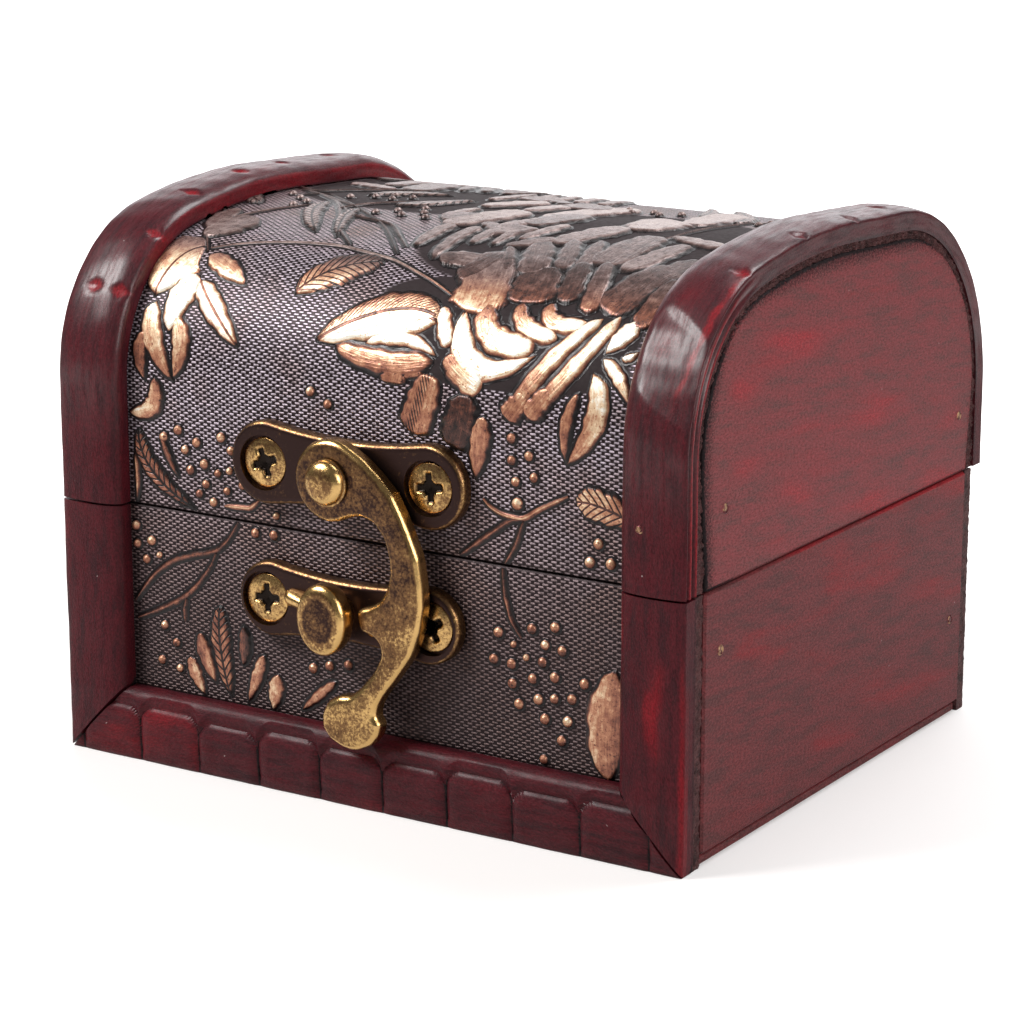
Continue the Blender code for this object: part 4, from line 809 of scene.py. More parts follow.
emboss, emboss_tree, emboss_shader = new_material("rubbed_copper_relief")
emboss_uv = shader_node(emboss_tree, "UVMap", uv_map="surface").outputs["UV"]
crest, tone_sum, vein_kind = (mesh_mark(emboss_tree, name) for name in ("crest", "tone", "veins"))
emboss_place = millimetres(emboss_tree)
mottle = stretched_noise(emboss_place, (0.9, 0.9, 0.9), 4.0, 0.65)
leaf_along, leaf_across = shader_node(emboss_tree, "SeparateXYZ", {0: emboss_uv}).outputs[:2]
from_rib = absolute(leaf_across)
feathered, hatched, combed, ribbed = (
    arithmetic("COMPARE", vein_kind, kind, 0.3) for kind in (1.0, 2.0, 3.0, 4.0))
chevron = plus(leaf_along, times(from_rib, 1.1))
chevron = arithmetic("SINE", times(chevron, 2 * math.pi / CHEVRON_PITCH))
midrib = ramp(from_rib, 0.05, 0.20, 1.0, 0.0)
feather_lines = times(larger(ramp(chevron, 0.35, 0.95), midrib), feathered)
feather_lines = times_plus(midrib, ribbed, feather_lines)
slant = times_plus(leaf_across, 1.5, leaf_along)
slant = arithmetic("SINE", times(slant, 2 * math.pi / SLANT_PITCH))
hatch_reach = ramp(absolute(minus(leaf_across, 0.25)), 0.30, 0.75, 1.0, 0.0)
hatch_lines = times(times(ramp(slant, 0.0, 0.8), hatch_reach), hatched)
comb_lines = times(ramp(slant, 0.45, 1.0), ramp(leaf_across, -0.1, 0.5))
comb_rib = ramp(absolute(plus(leaf_across, 0.1)), 0.10, 0.24, 1.0, 0.0)
comb_lines = times(larger(comb_lines, comb_rib), combed)
vein_share = larger(feather_lines, larger(hatch_lines, comb_lines))
ribbing = stretched_noise(emboss_uv, (0.35, 4.0, 1.0), 2.0, 0.6)
stipple = stretched_noise(emboss_place, (2.6, 2.6, 2.6), 3.0, 0.75)
# Tone rises towards each crest: partly rubbed wear and partly painted highlight.
for shade, weight in (
        (minus(mottle, 0.5), 0.80), (minus(ribbing, 0.5), 0.35),
        (vein_share, -0.50), (ramp(stipple, 0.56, 0.70), -0.32), (ramp(crest, 0.3, 1.0, 1.0, 0.0), -0.42)):
    tone_sum = times_plus(shade, weight, tone_sum)
height_up = shader_node(emboss_tree, "SeparateXYZ", {0: emboss_place}).outputs[2]
# Above the lid's shoulder the relief blends into the crown tones: a painted sheen by height.
relief_colour = blend_colour(ramp(height_up, 55.5, 58.5, 0.0, 0.88), toned(tone_sum, COPPER_STOPS),
                             toned(tone_sum, CROWN_SHEEN_STOPS))
relief_colour = blend_colour(ramp(crest, 0.02, 0.35, 1.0, 0.0), relief_colour, GROOVE_BLACK)
relief_depth = times_plus(vein_share, -0.8, times(ribbing, 0.8))
surfaced(emboss_shader, relief_colour, ramp(stipple, 0.3, 0.7, 0.26, 0.44), relief_depth, 0.7, 0.12)
feed(emboss_shader, {"Metallic": 0.35})


def turned_about(rows, pairs):
    """The same scroll turned half round for the sheet's other half: only rows that lie below its middle."""
    turned = []
    for row in rows:
        row = list(row)
        if max(row[1:2 * pairs:2]) < SCROLL_MIDDLE:
            row[0:2 * pairs:2] = [-value for value in row[0:2 * pairs:2]]
            row[1:2 * pairs:2] = [TURN_ABOUT - value for value in row[1:2 * pairs:2]]
            turned.append(tuple(row))
    return turned


leaves = list(LEAVES) + turned_about(LEAVES, 3)
petals = list(PETALS) + turned_about(PETALS, 3)
berries = list(BERRIES) + turned_about(BERRIES, 1)
stems = list(STEMS) + [(*row[:2], *((-x, TURN_ABOUT - z) for x, z in row[2:])) for row in STEMS
                       if max(z for _, z in row[2:]) < SCROLL_MIDDLE]
for part_name, body_name, low, high, lower_edge in (
        ("base_front_embossing", "base", 0.0, BASE_TOP, FOOT_HEIGHT),
        ("lid_embossing", "lid", SEAM_Z, SEAM_Z + LEATHER_LENGTH, SEAM_Z),
        ("base_back_embossing", "base", BACK_TOP, TURN_ABOUT, BACK_TOP)):
    reliefs = []
    for rows, middle_of, relief in (
            (leaves, lambda row: row[3], leaf_relief), (petals, lambda row: row[3], petal_relief),
            (berries, lambda row: row[1], berry_relief),
            (stems, lambda row: row[2 + (len(row) - 2) // 2][1], stem_relief)):
        kept = [row for row in rows if low <= middle_of(row) <= high]
        if kept:
            reliefs.append(relief(kept) + (relief is berry_relief,))
    points, faces, uvs, marks, first = [], [], [], {"crest": [], "tone": [], "veins": []}, 0
    for place, height, uv, tone, veins, closed in reliefs:
        count, rows, columns = height.shape
        across = place[..., 0].clip(-SIGHT_REACH, SIGHT_REACH)
        along = place[..., 1].clip(lower_edge + 0.04, high - 0.04)
        proud = 0.02 + 0.008 * (np.arange(count) % 5)[:, None, None]
        points.append(on_leather(across, along, proud + RELIEF * height).reshape(-1, 3))
        quads = grid_faces(rows, columns, count, closed)
        faces.append((quads[:, ::-1] if closed else quads) + first)
        first += height.size
        uvs.append(uv.reshape(-1, 2))
        for key, value in (("crest", height), ("tone", tone), ("veins", veins)):
            marks[key].append(value.ravel())
    relief_mesh = skinned(part_name, np.concatenate(points), np.concatenate(faces).tolist(),
                          np.concatenate(uvs), {key: np.concatenate(value) for key, value in marks.items()},
                          crease=180)
    add_piece(part_name, relief_mesh, emboss, body_name, "embossed_leather")

# Half-round strips: machined wooden mouldings, gouged with a row of scallops, bent over the lid and
# mitred round the base's front. They are stained and varnished last, so dark stain lies in the cuts
# and the crests are rubbed back to red.
STRIP_WIDTH = 7.9
STRIP_THICKNESS = 2.6
STRIP_LIFT = 1.9
STRIP_ROUNDNESS = 2.4
OUTER_SIDE = 1.9
INNER_SIDE = 1.0
SCALLOP_PITCH = 8.24
SCALLOP_START = -38.1


def strip_section(steps, outer_side, inner_side, width):
    """The moulding's section: share across, height and mm walked, up one side, over the round and down.

    The round is a superellipse over sides whose height grows from one to the other.
    """
    angle = np.linspace(0.0, math.pi, steps)
    across = (1 - np.sign(np.cos(angle)) * np.abs(np.cos(angle)) ** (2 / STRIP_ROUNDNESS)) / 2
    side = outer_side + (inner_side - outer_side) * across
    height = side + (STRIP_THICKNESS - side) * np.sin(angle).clip(0) ** (2 / STRIP_ROUNDNESS)
    up, down = np.linspace(0, outer_side, 25)[:-1], np.linspace(inner_side, 0, 5)[1:]
    share = np.concatenate([up * 0, across, down * 0 + 1])
    level = np.concatenate([up, height, down])
    walked = np.concatenate([[0.0], np.cumsum(np.hypot(np.diff(share) * width, np.diff(level)))])
    return share, level, walked


def waver(along, across, seed):
    """The unevenness of hand sanding in mm: three long waves that drift across the strip."""
    return (0.050 * np.sin(along / 4.7 + seed) * np.sin(across * 2.2 + seed * 1.7)
            + 0.026 * np.sin(along / 1.9 + across * 3.0 + seed * 2.3)
            + 0.016 * np.sin(along / 0.61 - across * 5.0 + seed * 3.1))


def nick(along, across, where_along, where_across, reach):
    """A V-shaped nick of depth one, widest at its place and pointed along and across the strip."""
    near = 1 - np.abs(along - where_along) / reach - np.abs(across - where_across) / (reach * 0.15)
    return np.clip(near * 1.6, 0, 1)


def bell(value, centre, width, power=2):
    """A bell of height one round a centre."""
    return np.exp(-((value - centre) / width) ** power)


def quarter_round(share):
    """The rise of a quarter circle, from nothing to one, over a share from nothing to one."""
    return np.sqrt((1 - (1 - share.clip(0, 1)) ** 2).clip(0))


def tube(name, rings, walked, along, marks, mirrored, shift):
    """A closed strip from rings of points, capped at both ends; mirrored strips have their rings reversed."""
    if mirrored:
        rings, walked = rings[:, ::-1], walked[::-1]
        marks = {key: value[:, ::-1] for key, value in marks.items()}
    uv = np.stack([along + 0 * walked, walked + shift + 0 * along], axis=-1)
    return skinned(name, rings, capped(*rings.shape[:2]), uv, marks)


strip_wood, strip_tree, strip_shader = new_material("varnished_strips")
strip_uv = shader_node(strip_tree, "UVMap", uv_map="surface").outputs["UV"]
strip_red = times_plus(mesh_mark(strip_tree, "bare"), 0.5, -0.08)
strip_colours = {"Stain": (0.075, 0.0075, 0.012, 1.0), "Deep": (0.026, 0.0060, 0.009, 1.0),
                 "Bare": (0.270, 0.006, 0.012, 1.0)}
strip_height = shader_node(strip_tree, "SeparateXYZ", {0: millimetres(strip_tree)}).outputs[2]
strip_shine = ramp(strip_height, 34.0, 47.0, 0.10, 0.58)
strip_shine = larger(strip_shine, ramp(strip_height, 7.0, 9.0, 0.18, 0.0))
shine_streaks = stretched_noise(strip_uv, (0.30, 1.6, 1.0), 4.0, 0.6)
strip_shine = times(strip_shine, ramp(shine_streaks, 0.30, 0.62, 0.45, 1.25))
varnish(strip_shader, strip_uv, strip_colours, strip_red, mesh_mark(strip_tree, "dirt"), 1.0, strip_shine)

LID_NICKS = {
    "left": ((24.5, 0.42), (24.3, 0.86), (32.8, 0.88), (42.4, 0.69), (52.2, 0.63), (60.8, 0.59), (71.4, 0.45),
             (80.5, 0.50), (89.6, 0.52)),
    "right": ((36.9, 0.15), (49.4, 0.13), (61.1, 0.12), (71.1, 0.36), (82.0, 0.20)),
}
STRIP_FRONT = MIDDLE_Y - HALF_DEPTH - STRIP_LIFT
LID_STATIONS, BASE_STATIONS, FOOT_STATIONS = 330, 110, 640
share, level, walked = strip_section(30, OUTER_SIDE, INNER_SIDE, STRIP_WIDTH)
along = np.linspace(0.0, dome_length(STRIP_LIFT + STRIP_THICKNESS), LID_STATIONS)[:, None]
across, rise = share + 0 * along, level + 0 * along
flat_y, flat_z, out_y, out_z = dome_outline(along, STRIP_LIFT + STRIP_THICKNESS)
for side_name, side in (("left", -1), ("right", 1)):
    cut = 0 * across
    for where, where_across in LID_NICKS[side_name]:
        cut = np.maximum(cut, nick(along, across, where, where_across, 1.25) * (rise > 0.8))
    sink = 0.30 * cut + waver(along, across, 1.0 + side) * np.clip(rise / 1.5, 0, 1)
    bare = (0.9 if side_name == "left" else 0.5) * cut
    dirt = 0.55 * bell(rise, 0.2, 0.35)
    inset = 0 * across
    if side_name == "right":
        reach = (along - 24.3 - 5.0 * (across - 0.5)) / 4.8
        planed = (1 - reach ** 2).clip(0) ** 0.3
        sink = sink + (rise - 2.16 - 0.25 * (across - 0.45) - 0.03 * np.sin(along * 1.9)).clip(0) * planed
        fade = np.clip((38.0 - along) / 10.0, 0, 1)
        outer = (across < 0.02) * fade
        lower = bell(rise, 0.62, 0.26) * outer
        upper = bell(rise, 1.62, 0.20) * outer
        inset = 0.42 * lower + 0.34 * upper
        ridge = (bell(rise, 1.14, 0.24) + 0.8 * bell(rise, 0.08, 0.22)).clip(0, 1) * outer
        run = 0.05 + 0.00075 * (37.4 - along) ** 2 + 0.012 * np.sin(along * 1.3)
        red_run = bell(across, run, 0.045) * bell(along, 27.5, 9.0, 4) * (rise > 1.0)
        bare = bare + 0.9 * ridge + (0.9 + 0.25 * np.sin(along * 2.1)) * red_run
        dirt = dirt * (1 - ridge) * (1 - 0.5 * fade) + 0.55 * lower + 0.5 * upper
    else:
        bare = bare + 0.45 * np.clip((along - 20) / 10, 0, 1) * (across > 0.97) * (rise > 0.15)
        dirt = dirt * (across < 0.9)
    below = rise - sink - STRIP_THICKNESS
    rings = np.stack([side * (HALF_WIDTH - across * STRIP_WIDTH - inset), flat_y + out_y * below,
                      flat_z + out_z * below], axis=-1)
    mesh = tube(f"lid_{side_name}_strip", rings, walked, along, {"bare": bare, "dirt": dirt}, side > 0,
                30.0 * side)
    add_piece(f"lid_{side_name}_strip", mesh, strip_wood, "lid", "stained_wood", f"lid_{side_name}_moulding")

foot = FOOT_HEIGHT * share + 0.2
z = foot + (BASE_TOP - foot) * np.linspace(0, 1, BASE_STATIONS)[:, None]
across, rise = share + 0 * z, level + 0 * z
for side_name, side in (("left", -1), ("right", 1)):
    sink = waver(z, across, 4.0 + side) * np.clip(rise / 1.5, 0, 1)
    bare = 0 * z
    dirt = 0.55 * bell(rise, 0.2, 0.35) + 0.35 * bell(z, foot, 0.5)
    if side_name == "right":
        flame = bell(across - 0.42, 0.05 * np.sin(z / 2.0), 0.16) * bell(z, 17.5, 6.0)
        bare = bare + 0.75 * flame + 0.5 * bell(across, 0.03, 0.05) * (rise > 1.2)
        bare = bare + 0.5 * bell(across, 0.97, 0.05) * (z > 24)
        sink = sink + 0.10 * bell(across, 0.42, 0.10) * bell(z, 15.0, 3.0)
    rings = np.stack([side * (HALF_WIDTH - across * STRIP_WIDTH), STRIP_FRONT - rise + sink, z], axis=-1)
    mesh = tube(f"base_{side_name}_strip", rings, walked, np.linspace(0, BASE_TOP, BASE_STATIONS)[:, None],
                {"bare": bare, "dirt": dirt}, side > 0, 55.0 + 20.0 * side)
    add_piece(f"base_{side_name}_strip", mesh, strip_wood, "base", "stained_wood",
              f"base_{side_name}_moulding")

share, level, walked = strip_section(60, OUTER_SIDE, 0.6, FOOT_HEIGHT)
z = share * FOOT_HEIGHT
x = np.linspace(-1, 1, FOOT_STATIONS)[:, None] * (HALF_WIDTH - z * STRIP_WIDTH / FOOT_HEIGHT - 0.2)
across, rise = share + 0 * x, level + 0 * x
tile = (x - SCALLOP_START) / SCALLOP_PITCH
uneven = np.sin(np.floor(tile) * 2.4)
from_valley = np.minimum(tile % 1.0, 1 - tile % 1.0) * SCALLOP_PITCH
arch_top = 6.2 - 1.5 * (1 - (from_valley / 1.9).clip(0, 1)) ** 2.2 + 0.3 * uneven
below_arch = arch_top - z
in_tile = below_arch > 0
flank = 1 - quarter_round(from_valley / 1.7)
brow = 1 - quarter_round(below_arch / 1.5)
pillow = np.maximum((0.62 + 0.10 * uneven) * flank, 0.50 * brow)
sink = np.where(in_tile, pillow, 0.50 * (1 + below_arch / 1.3).clip(0))
sink = sink * np.clip(z / 1.4 + 0.15, 0, 1) + waver(x, across, 7.3) * 0.8 * np.clip(rise / 1.5, 0, 1)
dirt = 0.85 * bell(from_valley, 0.0, 0.20) * in_tile + 0.55 * bell(below_arch, 0.0, 0.20)
dirt = dirt + 0.35 * bell(rise, 0.2, 0.35) * (across > 0.5)
bare = 0.10 * in_tile * (1 + uneven) + 0.10 * bell(below_arch, 0.8, 0.5)
rings = np.stack([x, STRIP_FRONT - rise + sink, z + 0 * x], axis=-1)
mesh = tube("base_foot_strip", rings, walked, np.linspace(-HALF_WIDTH, HALF_WIDTH, FOOT_STATIONS)[:, None],
            {"bare": bare, "dirt": dirt}, True, 110.0)
add_piece("base_foot_strip", mesh, strip_wood, "base", "stained_wood", "base_bottom_moulding")

# Hinges: a pair of small brass butt hinges on the back, with their pins and screws as the CAD has them.
# Their metal is the same aged brass as the latch, browned on the flats and rubbed bright on the edges.
BRASS_BROWN = (0.040, 0.023, 0.021, 1.0)
BRASS_OLIVE = (0.185, 0.098, 0.046, 1.0)
BRASS_GOLD = (0.72, 0.46, 0.18, 1.0)
brass_group, brass_in, brass_out = finish_group("aged_brass", Place="Vector", Facing="Float", Worn="Float")
blotches = stretched_noise(brass_in["Place"], (0.55, 0.55, 0.55), 4.0, 0.6)
flecks = stretched_noise(brass_in["Place"], (3.0, 3.0, 3.0), 5.0, 0.75)
rubbed = times_plus(minus(blotches, 0.5), 0.9, brass_in["Worn"])
rubbed = times_plus(minus(flecks, 0.5), 1.7, rubbed)
rubbed = times_plus(ramp(brass_in["Facing"], 0.80, 0.985, 1.0, 0.0), 0.60, rubbed)
brass_colour = blend_colour(ramp(rubbed, 0.0, 0.45), BRASS_BROWN, BRASS_OLIVE)
brass_colour = blend_colour(ramp(rubbed, 0.40, 0.95), brass_colour, BRASS_GOLD)
feed(brass_out, {"Color": brass_colour, "Roughness": ramp(rubbed, 0.0, 1.0, 0.42, 0.22),
                 "Height": times_plus(blotches, 0.5, flecks)})


def brass(name, worn, bump=0.35):
    """Metallic aged brass: worn is a number, or the name of an attribute that says how rubbed it is."""
    material, tree, shader = new_material(name)
    normal = shader_node(tree, "TexCoord").outputs["Normal"]
    facing = shader_node(tree, "VectorMath", {0: normal, 1: (0.0, 1.0, 0.0)}, operation="DOT_PRODUCT")
    worn = mesh_mark(tree, worn) if isinstance(worn, str) else worn
    sockets = {"Place": millimetres(tree), "Facing": absolute(facing.outputs["Value"]), "Worn": worn}
    metal = shader_node(tree, "Group", sockets, node_tree=brass_group).outputs
    surfaced(shader, metal["Color"], metal["Roughness"], metal["Height"], bump, 0.06)
    feed(shader, {"Metallic": 1.0})
    return material


hinge_brass = brass("hinge_brass", 0.30)
screw_brass = brass("screw_brass", 0.95, 0.2)
for node_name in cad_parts:
    if node_name.startswith("hinge_"):
        repaint(screw_brass if "screw" in node_name else hinge_brass, node_name)

# Latch plates: two cast brass plates with a round lobe at each end, the upper one on the lid for the
# hook and the lower one on the base for its keeper. Each has a broad bevel and two sunk screw holes.
PLATE_BEVEL = 0.65
SCREW_SPREAD = 10.65
HOLE_RADIUS = 3.05
HOLE_DEPTH = 0.75
HOLE_SIDES = 64
PLATE_CREASE = 40
plate_low, plate_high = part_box("latch_plate")
keeper_low, keeper_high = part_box("keeper_plate")
PLATE_X = (plate_low.x + plate_high.x) / 2 / MM
PLATE_FACE_Y = plate_low.y / MM
PLATE_BACK_Y = plate_high.y / MM
LATCH_Z = (plate_low.z + plate_high.z) / 2 / MM
KEEPER_Z = (keeper_low.z + keeper_high.z) / 2 / MM


def plate_half_height(x, spacing, radius, waist):
    """Half height of a two-lobed plate at x: a circle on each lobe, and a shallow hollow arc between them."""
    reach = spacing / 2
    hollow = (reach ** 2 + waist ** 2 - radius ** 2) / (2 * (radius - waist))
    joint = reach - radius * reach / (radius + hollow)
    lobe = np.sqrt((radius ** 2 - (np.abs(x) - reach) ** 2).clip(0))
    middle = waist + hollow - np.sqrt((hollow ** 2 - x ** 2).clip(0))
    return np.where(np.abs(x) < joint, middle, lobe)


def rounded_edge(distance, radius, height):
    """Height of a slab whose top edge is a quarter circle, by the distance inside the edge."""
    return height - radius * (1 - quarter_round(distance / radius))


def edge_distance(x, z, outline):
    """Distance of each point from a closed outline: from the nearest spot on any of its straight pieces."""
    run = np.roll(outline, -1, axis=0) - outline
    gap = np.stack([x, z], axis=-1)[..., None, :] - outline
    share = ((gap * run).sum(axis=-1) / (run ** 2).sum(axis=-1).clip(1e-9)).clip(0, 1)
    return np.sqrt(((gap - share[..., None] * run) ** 2).sum(axis=-1).min(axis=-1))


def baked(piece):
    """Makes a piece's modifiers part of its mesh."""
    graph = bpy.context.evaluated_depsgraph_get()
    mesh = bpy.data.meshes.new_from_object(piece.evaluated_get(graph))
    piece.modifiers.clear()
    piece.data = mesh


def turned_grid(profile, centre_x, centre_z, steps, squash=1.0):
    """A turned solid about a line along y: the profile's radius and y, carried round a circle, in mm."""
    profile = np.array(profile, float)
    angle = round_angles(steps)
    radius, y = profile[:, :1], profile[:, 1:]
    x, z = centre_x + radius * np.cos(angle), centre_z + radius * np.sin(angle) * squash
    return np.stack([x, y + 0 * angle, z], axis=-1)


def casting(name, rings, material, body, slot, marks, *stands_for, crease=60):
    """Adds a closed piece from rings of points, capped at both ends, with x and z as its UV map."""
    mesh = skinned(name, rings, capped(*rings.shape[:2]), rings[..., ::2], marks, crease)
    return add_piece(name, mesh, material, body, slot, *stands_for)


def bore(piece, x, z):
    """Sinks a straight-walled hole into a plate's face by a Boolean that is baked in at once."""
    profile = [(HOLE_RADIUS, PLATE_FACE_Y - 1.0), (HOLE_RADIUS, PLATE_FACE_Y + HOLE_DEPTH)]
    grid = turned_grid(profile, x, z, HOLE_SIDES)
    cutter_mesh = bpy.data.meshes.new("hole")
    cutter_mesh.from_pydata((grid[:, ::-1].reshape(-1, 3) * MM).tolist(), [], capped(2, HOLE_SIDES))
    cutter = bpy.data.objects.new("hole", cutter_mesh)
    bpy.context.scene.collection.objects.link(cutter)
    cut = piece.modifiers.new("hole", "BOOLEAN")
    cut.object = cutter
    cut.operation = "DIFFERENCE"
    cut.solver = "EXACT"
    baked(piece)
    bpy.data.objects.remove(cutter)


plate_brass = brass("plate_brass", -0.14)
for plate_name, node_name, body_name, z_middle, spacing, radius, waist in (
        ("latch_plate_casting", "latch_plate", "lid", LATCH_Z, 20.9, 4.6, 3.7),
        ("keeper_plate_casting", "keeper_plate", "base", KEEPER_Z, 20.2, 4.2, 3.3)):
    end = spacing / 2 + radius - 0.004
    turn = np.linspace(0, math.pi, 241)
    x = (-np.cos(turn) * end)[:, None]
    half = plate_half_height(x, spacing, radius, waist)
    outline = np.concatenate([np.concatenate([x, half], axis=1), np.concatenate([x, -half], axis=1)[::-1]])
    share = -np.cos(np.linspace(0, math.pi, 41))
    z = half * share
    depth = rounded_edge(edge_distance(x + 0 * z, z, outline), PLATE_BEVEL, PLATE_BACK_Y - PLATE_FACE_Y)
    front = np.stack([PLATE_X + x + 0 * z, PLATE_BACK_Y - depth, z_middle + z], axis=-1)
    back = np.stack([PLATE_X + x + 0 * z, PLATE_BACK_Y + 0 * z, z_middle + z], axis=-1)[:, ::-1]
    rings = np.concatenate([front, back[:, ::8]], axis=1)[:, ::-1]
    plate = casting(plate_name, rings, plate_brass, body_name, "antique_brass", {}, node_name,
                    crease=PLATE_CREASE)
    for side in (-1, 1):
        bore(plate, PLATE_X + side * SCREW_SPREAD, z_middle)
    plate.data.shade_smooth()
    plate.data.set_sharp_from_angle(angle=math.radians(PLATE_CREASE))

# Plate screws: bright brass countersunk wood screws with a low domed head and a cross recess that is
# coloured near-black. Each sits a little below its plate's face, one turned a little from the next.
HEAD_RADIUS = 2.72
HEAD_SEAT_Y = PLATE_FACE_Y + HOLE_DEPTH
HEAD_RINGS = 45
HEAD_SIDES = 96
RECESS_BLACK = (0.016, 0.012, 0.010, 1.0)
cross_brass, cross_tree, cross_shader = new_material("screw_heads")
cross_sockets = {"Place": millimetres(cross_tree), "Facing": 1.0, "Worn": 0.66}
cross_metal = shader_node(cross_tree, "Group", cross_sockets, node_tree=brass_group).outputs
cross_colour = blend_colour(ramp(mesh_mark(cross_tree, "recess"), 0.25, 0.8), cross_metal["Color"],
                            RECESS_BLACK)
surfaced(cross_shader, cross_colour, cross_metal["Roughness"], cross_metal["Height"], 0.3, 0.06)
feed(cross_shader, {"Metallic": 1.0})


def recess_arm(across, along):
    """One arm of the cross recess, full in the middle, with soft flanks and ends."""
    flank = np.clip((0.42 - np.abs(across)) / 0.30 + 0.5, 0, 1)
    return flank * np.clip((1.62 - np.abs(along)) / 0.45 + 0.5, 0, 1)


radius = np.concatenate([
    [HEAD_RADIUS * 0.55, HEAD_RADIUS, HEAD_RADIUS], HEAD_RADIUS - 0.06 * np.array([0.2, 1.0]),
    np.linspace(0.94, 0.004, 40) * HEAD_RADIUS])[:, None]
angle = round_angles(HEAD_SIDES)
dome = 0.42 * (1 - (radius / HEAD_RADIUS) ** 2).clip(0)
level = np.concatenate([[0.0, 0.0, 0.22, 0.30], np.full(41, 0.34)])[:, None] + dome * (radius < HEAD_RADIUS)
level[0] = 0.0
heart = np.clip((0.92 - radius) / 0.30 + 0.5, 0, 1) + 0 * angle
for screw_name, body_name, side, z_middle, turn in (
        ("latch_screw_left", "lid", -1, LATCH_Z, 0.35), ("latch_screw_right", "lid", 1, LATCH_Z, 0.12),
        ("keeper_screw_left", "base", -1, KEEPER_Z, 0.05), ("keeper_screw_right", "base", 1, KEEPER_Z, 0.55)):
    along_x, along_z = radius * np.cos(angle - turn), radius * np.sin(angle - turn)
    recess = np.maximum(np.maximum(recess_arm(along_z, along_x), recess_arm(along_x, along_z)), heart)
    recess = recess * (np.arange(HEAD_RINGS) > 3)[:, None]
    depth = level - recess * (0.62 - 0.18 * radius)
    rings = np.stack([PLATE_X + side * SCREW_SPREAD + radius * np.cos(angle), HEAD_SEAT_Y - depth,
                      z_middle + radius * np.sin(angle)], axis=-1)
    casting(screw_name + "_head", rings[:, ::-1], cross_brass, body_name, "screw_brass",
            {"recess": recess[:, ::-1]}, screw_name)

# Swing hook: a cast brass crescent that turns on the rivet. Its edges are rounded over and rubbed
# bright, its tooth catches under the knob, and its tail lifts away from the leather to a round thumb end.
PIVOT_X = -2.36
PIVOT_Z = LATCH_Z - 0.3
HOOK_REACH = 26.4
EYE_RADIUS = 4.5
HOOK_BACK_Y = PLATE_FACE_Y - 0.55
HOOK_THICKNESS = 1.8
HOOK_ROUNDING = 0.75
TAIL_LIFT = 0.9
HOOK_INNER = (
    # across and down from the eye's middle, as shares of the hook's reach
    (0.045, 0.160), (0.090, 0.140), (0.150, 0.125), (0.212, 0.145), (0.259, 0.202), (0.282, 0.281),
    (0.286, 0.338), (0.271, 0.406), (0.236, 0.461), (0.190, 0.490), (0.138, 0.507), (0.124, 0.520),
    (0.125, 0.545), (0.134, 0.585), (0.150, 0.603), (0.200, 0.612), (0.234, 0.640), (0.245, 0.684),
    (0.213, 0.757), (0.153, 0.830), (0.108, 0.868), (0.052, 0.878), (-0.004, 0.909), (-0.031, 0.965),
    (-0.029, 1.022), (0.008, 1.068), (0.069, 1.093), (0.105, 1.098),
)
HOOK_OUTER = (
    (0.095, -0.142), (0.160, -0.106), (0.234, -0.047), (0.300, 0.017), (0.347, 0.100), (0.384, 0.176),
    (0.421, 0.261), (0.438, 0.372), (0.442, 0.462), (0.422, 0.572), (0.388, 0.669), (0.319, 0.772),
    (0.262, 0.848), (0.238, 0.894), (0.232, 0.937), (0.257, 0.968), (0.243, 1.018), (0.204, 1.065),
    (0.140, 1.095), (0.105, 1.098),
)
HOOK_PAIRS = np.array([
    # share of the inner edge and of the outer edge that face each other
    (0.0, 0.0), (0.165, 0.155), (0.20, 0.235), (0.30, 0.40), (0.405, 0.56), (0.475, 0.62), (0.53, 0.66),
    (0.60, 0.70), (0.74, 0.80), (0.80, 0.845), (0.90, 0.925), (1.0, 1.0),
])


def eye_arc(start, stop, count):
    """Points round the hook's eye, from one angle to another."""
    angle = np.radians(np.linspace(start, stop, count))
    return np.stack([np.cos(angle), np.sin(angle)], axis=-1) * EYE_RADIUS


hook_scale = np.array([1.0, -1.0]) * HOOK_REACH
steps = np.linspace(0, 1, 300)
edges, facing_points = [], []
for column, eye, table in ((0, eye_arc(172, 270, 40), HOOK_INNER), (1, eye_arc(172, 66, 40), HOOK_OUTER)):
    edge = eased_path(np.concatenate([eye, np.array(table) * hook_scale]), 420, 7)
    walk = walked_along(edge)
    at = np.interp(steps, HOOK_PAIRS[:, 0], HOOK_PAIRS[:, column]) * walk[-1]
    edges.append(edge)
    facing_points.append(np.stack([np.interp(at, walk, edge[:, 0]), np.interp(at, walk, edge[:, 1])],
                                  axis=-1))
share = ((1 - np.cos(np.linspace(0, math.pi, 33))) / 2)[None, :, None]
face = facing_points[0][:, None] * (1 - share) + facing_points[1][:, None] * share
distance = edge_distance(face[..., 0], face[..., 1], np.concatenate([edges[0], edges[1][::-1]]))
thickness = rounded_edge(distance, HOOK_ROUNDING, HOOK_THICKNESS) - 0.12 * (1 - pressed(distance / 2.0))
lift = TAIL_LIFT * pressed((-face[..., 1] - 0.541 * HOOK_REACH) / 12.0)
front = np.stack([PIVOT_X + face[..., 0], HOOK_BACK_Y - thickness - lift, PIVOT_Z + face[..., 1]], axis=-1)
back = np.stack([PIVOT_X + face[..., 0], HOOK_BACK_Y - lift, PIVOT_Z + face[..., 1]], axis=-1)[:, ::-4]
rings = np.concatenate([front, back], axis=1)
worn = 0.20 + 0.34 * pressed((-rings[..., 2] + PIVOT_Z - 2.0) / 24.0) + 0.1 * (np.arange(rings.shape[1]) > 20)
hook_brass = brass("hook_brass", "worn")
casting("swing_hook", rings, hook_brass, "hook", "antique_brass", {"worn": worn}, "latch_hook")

